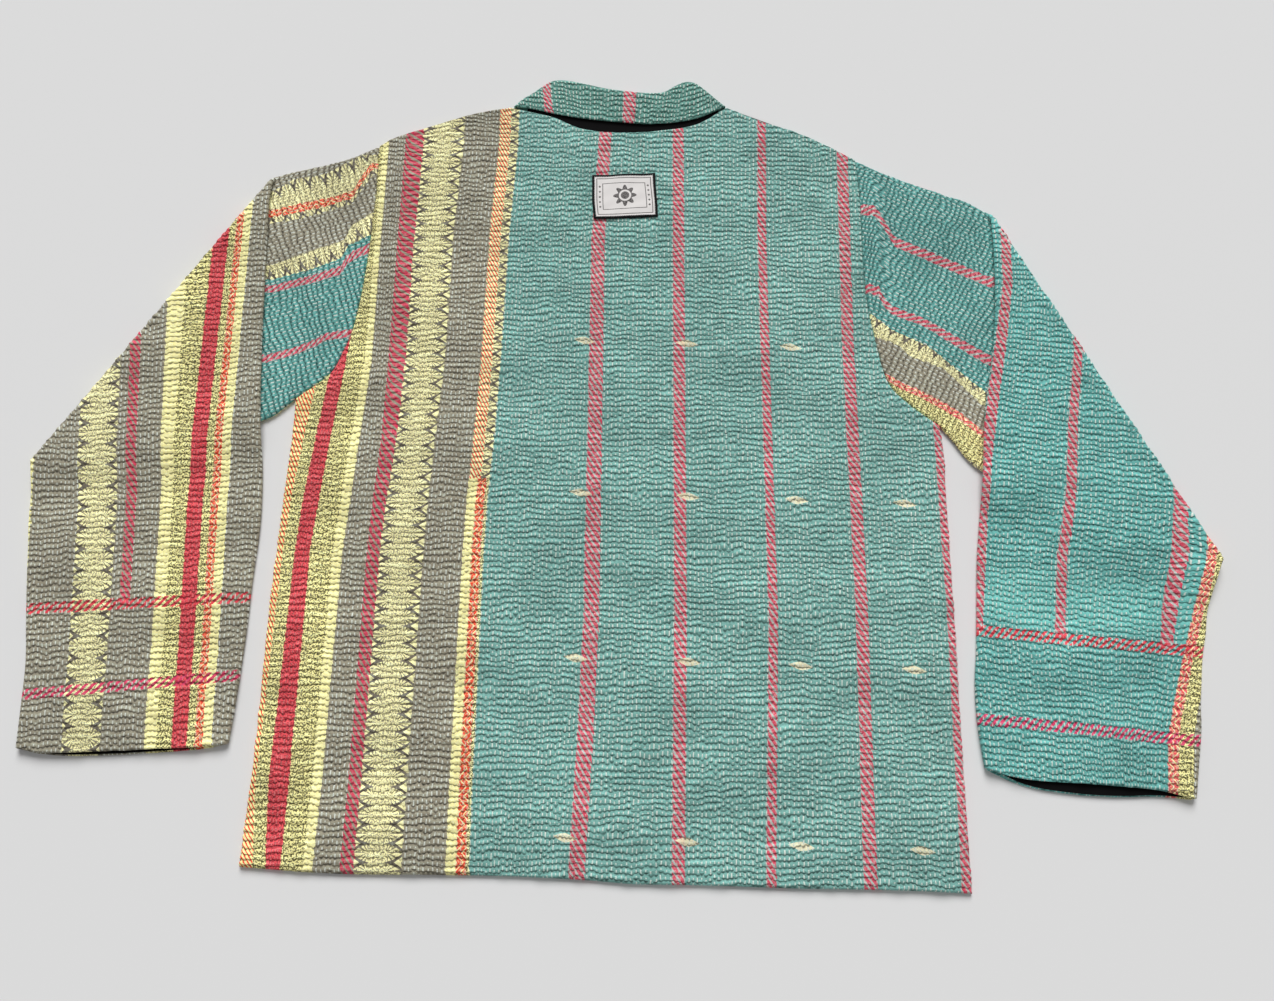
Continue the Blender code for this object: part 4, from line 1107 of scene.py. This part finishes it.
for side, table in SLEEVES.items():
    hang = heading(table["stripes"])
    cuff = smooth_curve(table["cuff"])
    along_cuff = (cuff[-1] - cuff[0]) / np.linalg.norm(cuff[-1] - cuff[0])
    share = np.linspace(0, 1, len(cuff))
    past = table["under_layer_longer"] * np.sin(math.pi * share) - LINING_BACK
    lower = cuff + np.outer(LINING_INSET * (1 - 2 * share), along_cuff) + np.outer(past, hang)
    data = skin_with_rim(LINING_COLUMNS, LINING_ROWS)
    lay_strip(data, lower, lower - hang * LINING_DEPTH, LINING_LEVEL, LINING)
    finish_piece(
        data, f"cuff_lining_{side}_strip", f"cuff_lining_{side}", [black_cotton])

# The collar stand. A curved strip of the same black cotton stands between the neck seam and the roll,
# and lies flat here, so it shows as a black crescent under the fall.
COLLAR_ROLL = (
    (-103, 341), (-95, 349), (-85, 356), (-75, 364), (-67, 369), (-55, 370), (-35, 366), (-15, 361),
    (5, 358), (25, 356), (40, 357), (50, 363), (60, 368), (70, 367), (80, 359), (90, 349), (99, 341))
STAND_BELOW_ROLL = 4.0
STAND_OVER_SEAM = 0.6
STAND_COLUMNS = 90
neck = smooth_curve(BACK_NECK[1:])
roll = smooth_curve(COLLAR_ROLL)
reach = np.linspace(-90, 92, STAND_COLUMNS)
data = skin_with_rim(STAND_COLUMNS, 8)
lay_strip(
    data, np.stack([reach, place_at(neck, reach, 0, 1) + STAND_OVER_SEAM], 1),
    np.stack([reach, place_at(roll, reach, 0, 1) - STAND_BELOW_ROLL], 1), LAYER, LINING)
finish_piece(
    data, "collar_stand_strip", "collar_stand", [black_cotton])

# The collar. A band of teal quilted cotton folds over at its roll, and its fall lies down over the
# stand. Its ends turn under to the front. Its stitches run across the fall, so its puckers run along
# it, and a row of topstitching holds its edge flat.
COLLAR_FALL_EDGE = (
    (-102, 340), (-85, 338), (-65, 333), (-45, 329), (-25, 326), (15, 322), (35, 322), (55, 324), (75, 329),
    (98, 340))
NECK_OPENING = ((22, 284), (40, 306), (22, 302), (-2, 300), (-32, 302), (-54, 306), (-36, 284))
FALL_LEVEL = LAYER + LINING + 0.6
COLLAR_TOP = FALL_LEVEL + CLOTH
ROLL_ROUND = 2.2       # how far in the roll's rounding reaches
FALL_ROUND = 1.3       # the same at the fall's edge
# Their sections: how far in, and the share of the height
ROLL_SECTION = ((0.55, 0.84), (0.0, 0.5), (0.55, 0.16), (ROLL_ROUND, 0.0))
FALL_SECTION = ((0.0, 0.35), (0.05, 0.75), (0.5, 0.94), (FALL_ROUND, 1.0))
FALL_POINTS = 56
COLLAR_PITCH = 4.9     # from one of the collar's puckers to the next
TOPSTITCH_IN = 6.5     # the first line of stitches is this far from the fall's edge
COLLAR_TEAL = "5F8F84"

roll = smooth_curve(COLLAR_ROLL, 1.2)
fall = smooth_curve(COLLAR_FALL_EDGE, 0.6)
steps = np.linspace(0, 1, len(roll))
# For each station along the roll, where on the fall's edge the cloth that turns there ends
matching = fall[np.round(steps * (len(fall) - 1)).astype(int)]
to_fall = np.linalg.norm(fall[None] - roll[:, None], axis=2)
to_matching = np.linalg.norm(fall[None] - matching[:, None], axis=2)
nearest = (to_fall + to_matching / 3).argmin(axis=1).astype(float)
smoothing = np.ones(21) / 21
padded = np.concatenate([np.full(10, nearest[0]), nearest, np.full(10, nearest[-1])])
nearest = np.convolve(padded, smoothing, mode="valid")
edge = np.stack([np.interp(nearest, np.arange(len(fall)), fall[:, i]) for i in (0, 1)], 1)
width = np.linalg.norm(edge - roll, axis=1)
down = (edge - roll) / width[:, None]
travel = np.concatenate([[0], np.cumsum(np.linalg.norm(np.diff(roll, axis=0), axis=1))])
travel = travel - np.interp(0, roll[:, 0], travel)

round_in = np.minimum(ROLL_ROUND, width * 0.45)[:, None]
fall_in = np.minimum(FALL_ROUND, width * 0.2)[:, None]
top_share = np.linspace(0, 1, FALL_POINTS)[None]
inner_wall = np.minimum(LAYER, width * 0.8)[:, None]
fall_rows = np.array(FALL_SECTION)
roll_rows = np.array(ROLL_SECTION)
# The section at each station, from the inner side round the fall's edge, over the top and the roll
inward = np.concatenate([
    inner_wall, width[:, None] - 0.6,
    width[:, None] - fall_rows[None, :, 0] * fall_in / FALL_ROUND,
    width[:, None] - fall_in - (width[:, None] - fall_in - round_in) * top_share,
    roll_rows[None, :, 0] * round_in / ROLL_ROUND,
    inner_wall, inner_wall], axis=1)
heights = np.concatenate([
    [FALL_LEVEL, FALL_LEVEL], FALL_LEVEL + CLOTH * fall_rows[:, 1], np.full(FALL_POINTS, COLLAR_TOP),
    COLLAR_TOP * roll_rows[:, 1], [CLOTH, FALL_LEVEL]])
on_top = np.zeros(len(heights))
on_top[7:-7] = 1       # without the two sections and the inner side
from_edge = width[:, None] - inward
along_collar = travel[:, None] * np.ones_like(inward)
number, pucker = quilting(along_collar, (from_edge - TOPSTITCH_IN) * PUCKER_PITCH / COLLAR_PITCH, seed=71)
lift = PUCKER_HEIGHT * pucker - PUCKER_SINK
lift = lift * np.clip(from_edge / 3, 0, 1) * np.clip(inward / 2, 0, 1) * np.clip(width[:, None] / 14, 0, 1)
z = heights + lift * on_top * 0.8
flat = roll[:, None] + down[:, None] * inward[..., None]

mesh = bmesh.new()
bmesh.ops.create_grid(mesh, x_segments=inward.shape[0] - 1, y_segments=inward.shape[1] - 1, size=0.5)
data = finish_mesh(mesh, "collar")
grid = read_points(data)
at = (
    np.round((grid[:, 0] + 0.5) * (inward.shape[0] - 1)).astype(int),
    np.round((grid[:, 1] + 0.5) * (inward.shape[1] - 1)).astype(int))
write_points(data, np.column_stack([flat[at], z[at]]))
points, _ = corners_of(data)
write_map(data, "cloth", along_collar[at][points] * MM, from_edge[at][points] * MM)
write_map(data, "stitch", along_collar[at][points] * MM, number[at][points])
mesh = bmesh.new()
mesh.from_mesh(data)
bmesh.ops.remove_doubles(mesh, verts=mesh.verts, dist=1e-3)
bmesh.ops.holes_fill(mesh, edges=open_edges(mesh))
under_roll = (roll + down * round_in)[::4]
add_slab(mesh, [*under_roll, *LEAF_RIGHT[::-1], *NECK_OPENING, *LEAF_LEFT[::-1]], CLOTH)
bmesh.ops.recalc_face_normals(mesh, faces=mesh.faces)
mesh.to_mesh(data)
mesh.free()
finish_piece(
    data, "collar_turned", "collar",
    [quilted_cotton(
        "collar_quilted_cotton",
        (
            (-140.0, COLLAR_TEAL, COLLAR_TEAL, PLAIN), (-79.0, MAUVE, PINK_RED, STROKES),
            (-71.0, COLLAR_TEAL, COLLAR_TEAL, PLAIN), (1.5, MAUVE, PINK_RED, STROKES),
            (14.0, COLLAR_TEAL, COLLAR_TEAL, PLAIN)))])

# The label. A small cotton patch is overcast to the back with black thread. It holds a plain frame
# and a rosette here, and no lettering.
LABEL_TURN = 2.6       # degrees
LABEL_LEVEL = 5.6
LABEL_THICKNESS = 0.8
LABEL_COLUMNS = 60
LABEL_ROWS = 46


def printed_label():
    """Smooth white cotton with a worn grey print, overcast all round in thick black thread.

    The UV map "label" holds the distance from its middle, in metres."""
    material, tree, add = new_material("printed_cotton_label")
    place = add("UVMap", uv_map="label")
    x, y, _ = add("SeparateXYZ", (place,)).node.outputs
    x_out = add("Math", (x,), operation="ABSOLUTE")
    y_out = add("Math", (y,), operation="ABSOLUTE")
    x_in = add("Math", (LABEL_SIZE[0] / 2 * MM, x_out), operation="SUBTRACT")
    y_in = add("Math", (LABEL_SIZE[1] / 2 * MM, y_out), operation="SUBTRACT")
    inset = add("Math", (x_in, y_in), operation="MINIMUM")
    grain = add("TexNoise", {"Vector": place, "Scale": 900.0, "Detail": 2.0})

    # Black overcasting, whose stitches scallop the edge, and a thin double frame inside it
    round_the_edge = add("Math", (x, y), operation="ADD")
    scallop = add("Math", (round_the_edge, 0.0008), operation="PINGPONG")
    overcast_edge = add("Math", (scallop, 0.9, 0.002), operation="MULTIPLY_ADD")
    overcast = add("Math", (inset, overcast_edge), operation="LESS_THAN")
    frame_1 = add("Math", (inset, 0.0044, 0.0004), operation="COMPARE")
    frame_2 = add("Math", (inset, 0.0098, 0.00035), operation="COMPARE")

    # A rosette of eight petals round a ring, and a row of small lozenges at each side of it
    far = add("VectorMath", (place,), 1, operation="LENGTH")
    angle = add("Math", (y, x), operation="ARCTAN2")
    petal = add("Math", (angle, 8.0), operation="MULTIPLY")
    petal = add("Math", (petal,), operation="COSINE")
    petal_edge = add("Math", (petal, 0.002, 0.0088), operation="MULTIPLY_ADD")
    rosette = add("Math", (far, petal_edge), operation="LESS_THAN")
    ring = add("Math", (far, 0.0048, 0.0009), operation="COMPARE")
    rosette = add("Math", (rosette, ring), operation="SUBTRACT", use_clamp=True)
    lozenge_y = add("Math", (y, 0.0026), operation="PINGPONG")
    lozenge_x = add("Math", (x_in, 0.0071), operation="SUBTRACT")
    lozenge_x = add("Math", (lozenge_x,), operation="ABSOLUTE")
    lozenge = add("Math", (lozenge_x, lozenge_y), operation="ADD")
    lozenge = add("Math", (lozenge, 0.0012), operation="LESS_THAN")
    in_sides = add("Math", (y_out, 0.0125), operation="LESS_THAN")
    lozenge = add("Math", (lozenge, in_sides), operation="MULTIPLY")

    # Grey print, worn where the cloth's grain stands up
    printed = frame_1
    for figures in (frame_2, rosette, lozenge):
        printed = add("Math", (printed, figures), operation="MAXIMUM")
    ink = add("MapRange", {"Value": grain, "From Min": 0.35, "From Max": 0.6, "To Min": 1.0, "To Max": 0.75})
    printed = add("Math", (printed, ink), operation="MULTIPLY")
    colour = add(
        "Mix", {0: printed, 6: linear("E9E5E3"), 7: linear("3A3535")}, 2, data_type="RGBA")
    colour = add("Mix", {0: overcast, 6: colour, 7: linear("141315")}, 2, data_type="RGBA")
    relief = add("Math", (overcast, grain), operation="MULTIPLY")
    bump = add("Bump", {"Strength": 0.6, "Distance": 0.0008, "Height": relief})
    set_inputs(tree, tree.nodes["Principled BSDF"], {
        "Base Color": colour, "Normal": bump, "Roughness": 0.85, "Specular IOR Level": 0.2})
    return material


data = skin_with_rim(LABEL_COLUMNS, LABEL_ROWS)
grid = read_points(data)
across_label, up_label = heading(LABEL_TURN), heading(LABEL_TURN + 90)
label_x, label_y = grid[:, 0] * LABEL_SIZE[0], grid[:, 1] * LABEL_SIZE[1]
sway = 0.5 * drift(label_x, label_y, 40, 8)
flat = np.array(LABEL_CENTRE) + np.outer(label_x + sway, across_label) + np.outer(label_y + sway, up_label)
inset = np.minimum(LABEL_SIZE[0] / 2 - np.abs(label_x), LABEL_SIZE[1] / 2 - np.abs(label_y))
edge_roll = 0.35 * np.exp(-(((inset - 1.2) / 0.9) ** 2)) - 0.35 * np.exp(-((inset / 0.4) ** 2))
z = LABEL_LEVEL + (LABEL_THICKNESS + 0.15 * drift(label_x, label_y, 12, 9) + edge_roll) * (grid[:, 2] > -0.5)
write_points(data, np.column_stack([flat, z]))
points, _ = corners_of(data)
write_map(data, "label", label_x[points] * MM, label_y[points] * MM)
finish_piece(
    data, "label_patch", "label", [printed_label()])

# The floor, the light and the camera: a plain pale floor under soft light from above, and a camera
# tilted as it is in the photograph.
scene = bpy.context.scene
mesh = bmesh.new()
bmesh.ops.create_grid(mesh, x_segments=1, y_segments=1, size=4.0)
floor_data = finish_mesh(mesh, "floor")
floor = bpy.data.objects.new("floor", floor_data)
scene.collection.objects.link(floor)
floor_paint, tree, _ = new_material("matt_floor_paint")
set_inputs(tree, tree.nodes["Principled BSDF"], {"Base Color": linear("E6E6E6"), "Roughness": 0.9})
floor_data.materials.append(floor_paint)

world = bpy.data.worlds.new("soft_room_light")
world.use_nodes = True
world.node_tree.nodes["Background"].inputs["Color"].default_value = (1, 1, 1, 1)
world.node_tree.nodes["Background"].inputs["Strength"].default_value = 0.29
scene.world = world
lamp_data = bpy.data.lights.new("large_soft_lamp", "SUN")
lamp_data.angle = math.radians(35)
lamp_data.energy = 2.85
lamp = bpy.data.objects.new("large_soft_lamp", lamp_data)
lamp.location = (-0.5, 0.9, 1.3)
lamp.rotation_euler = Vector((0.0, -1.15, -1.0)).to_track_quat("-Z", "Y").to_euler()
scene.collection.objects.link(lamp)

camera_data = bpy.data.cameras.new("camera")
camera_data.sensor_width = 36.0
camera_data.lens = 31.08
camera = bpy.data.objects.new("camera", camera_data)
camera.location = (0.0145, -0.3040, 0.9150)
camera.rotation_euler = (math.radians(15.6), 0, 0)
scene.collection.objects.link(camera)
scene.camera = camera
scene.view_settings.view_transform = "Standard"
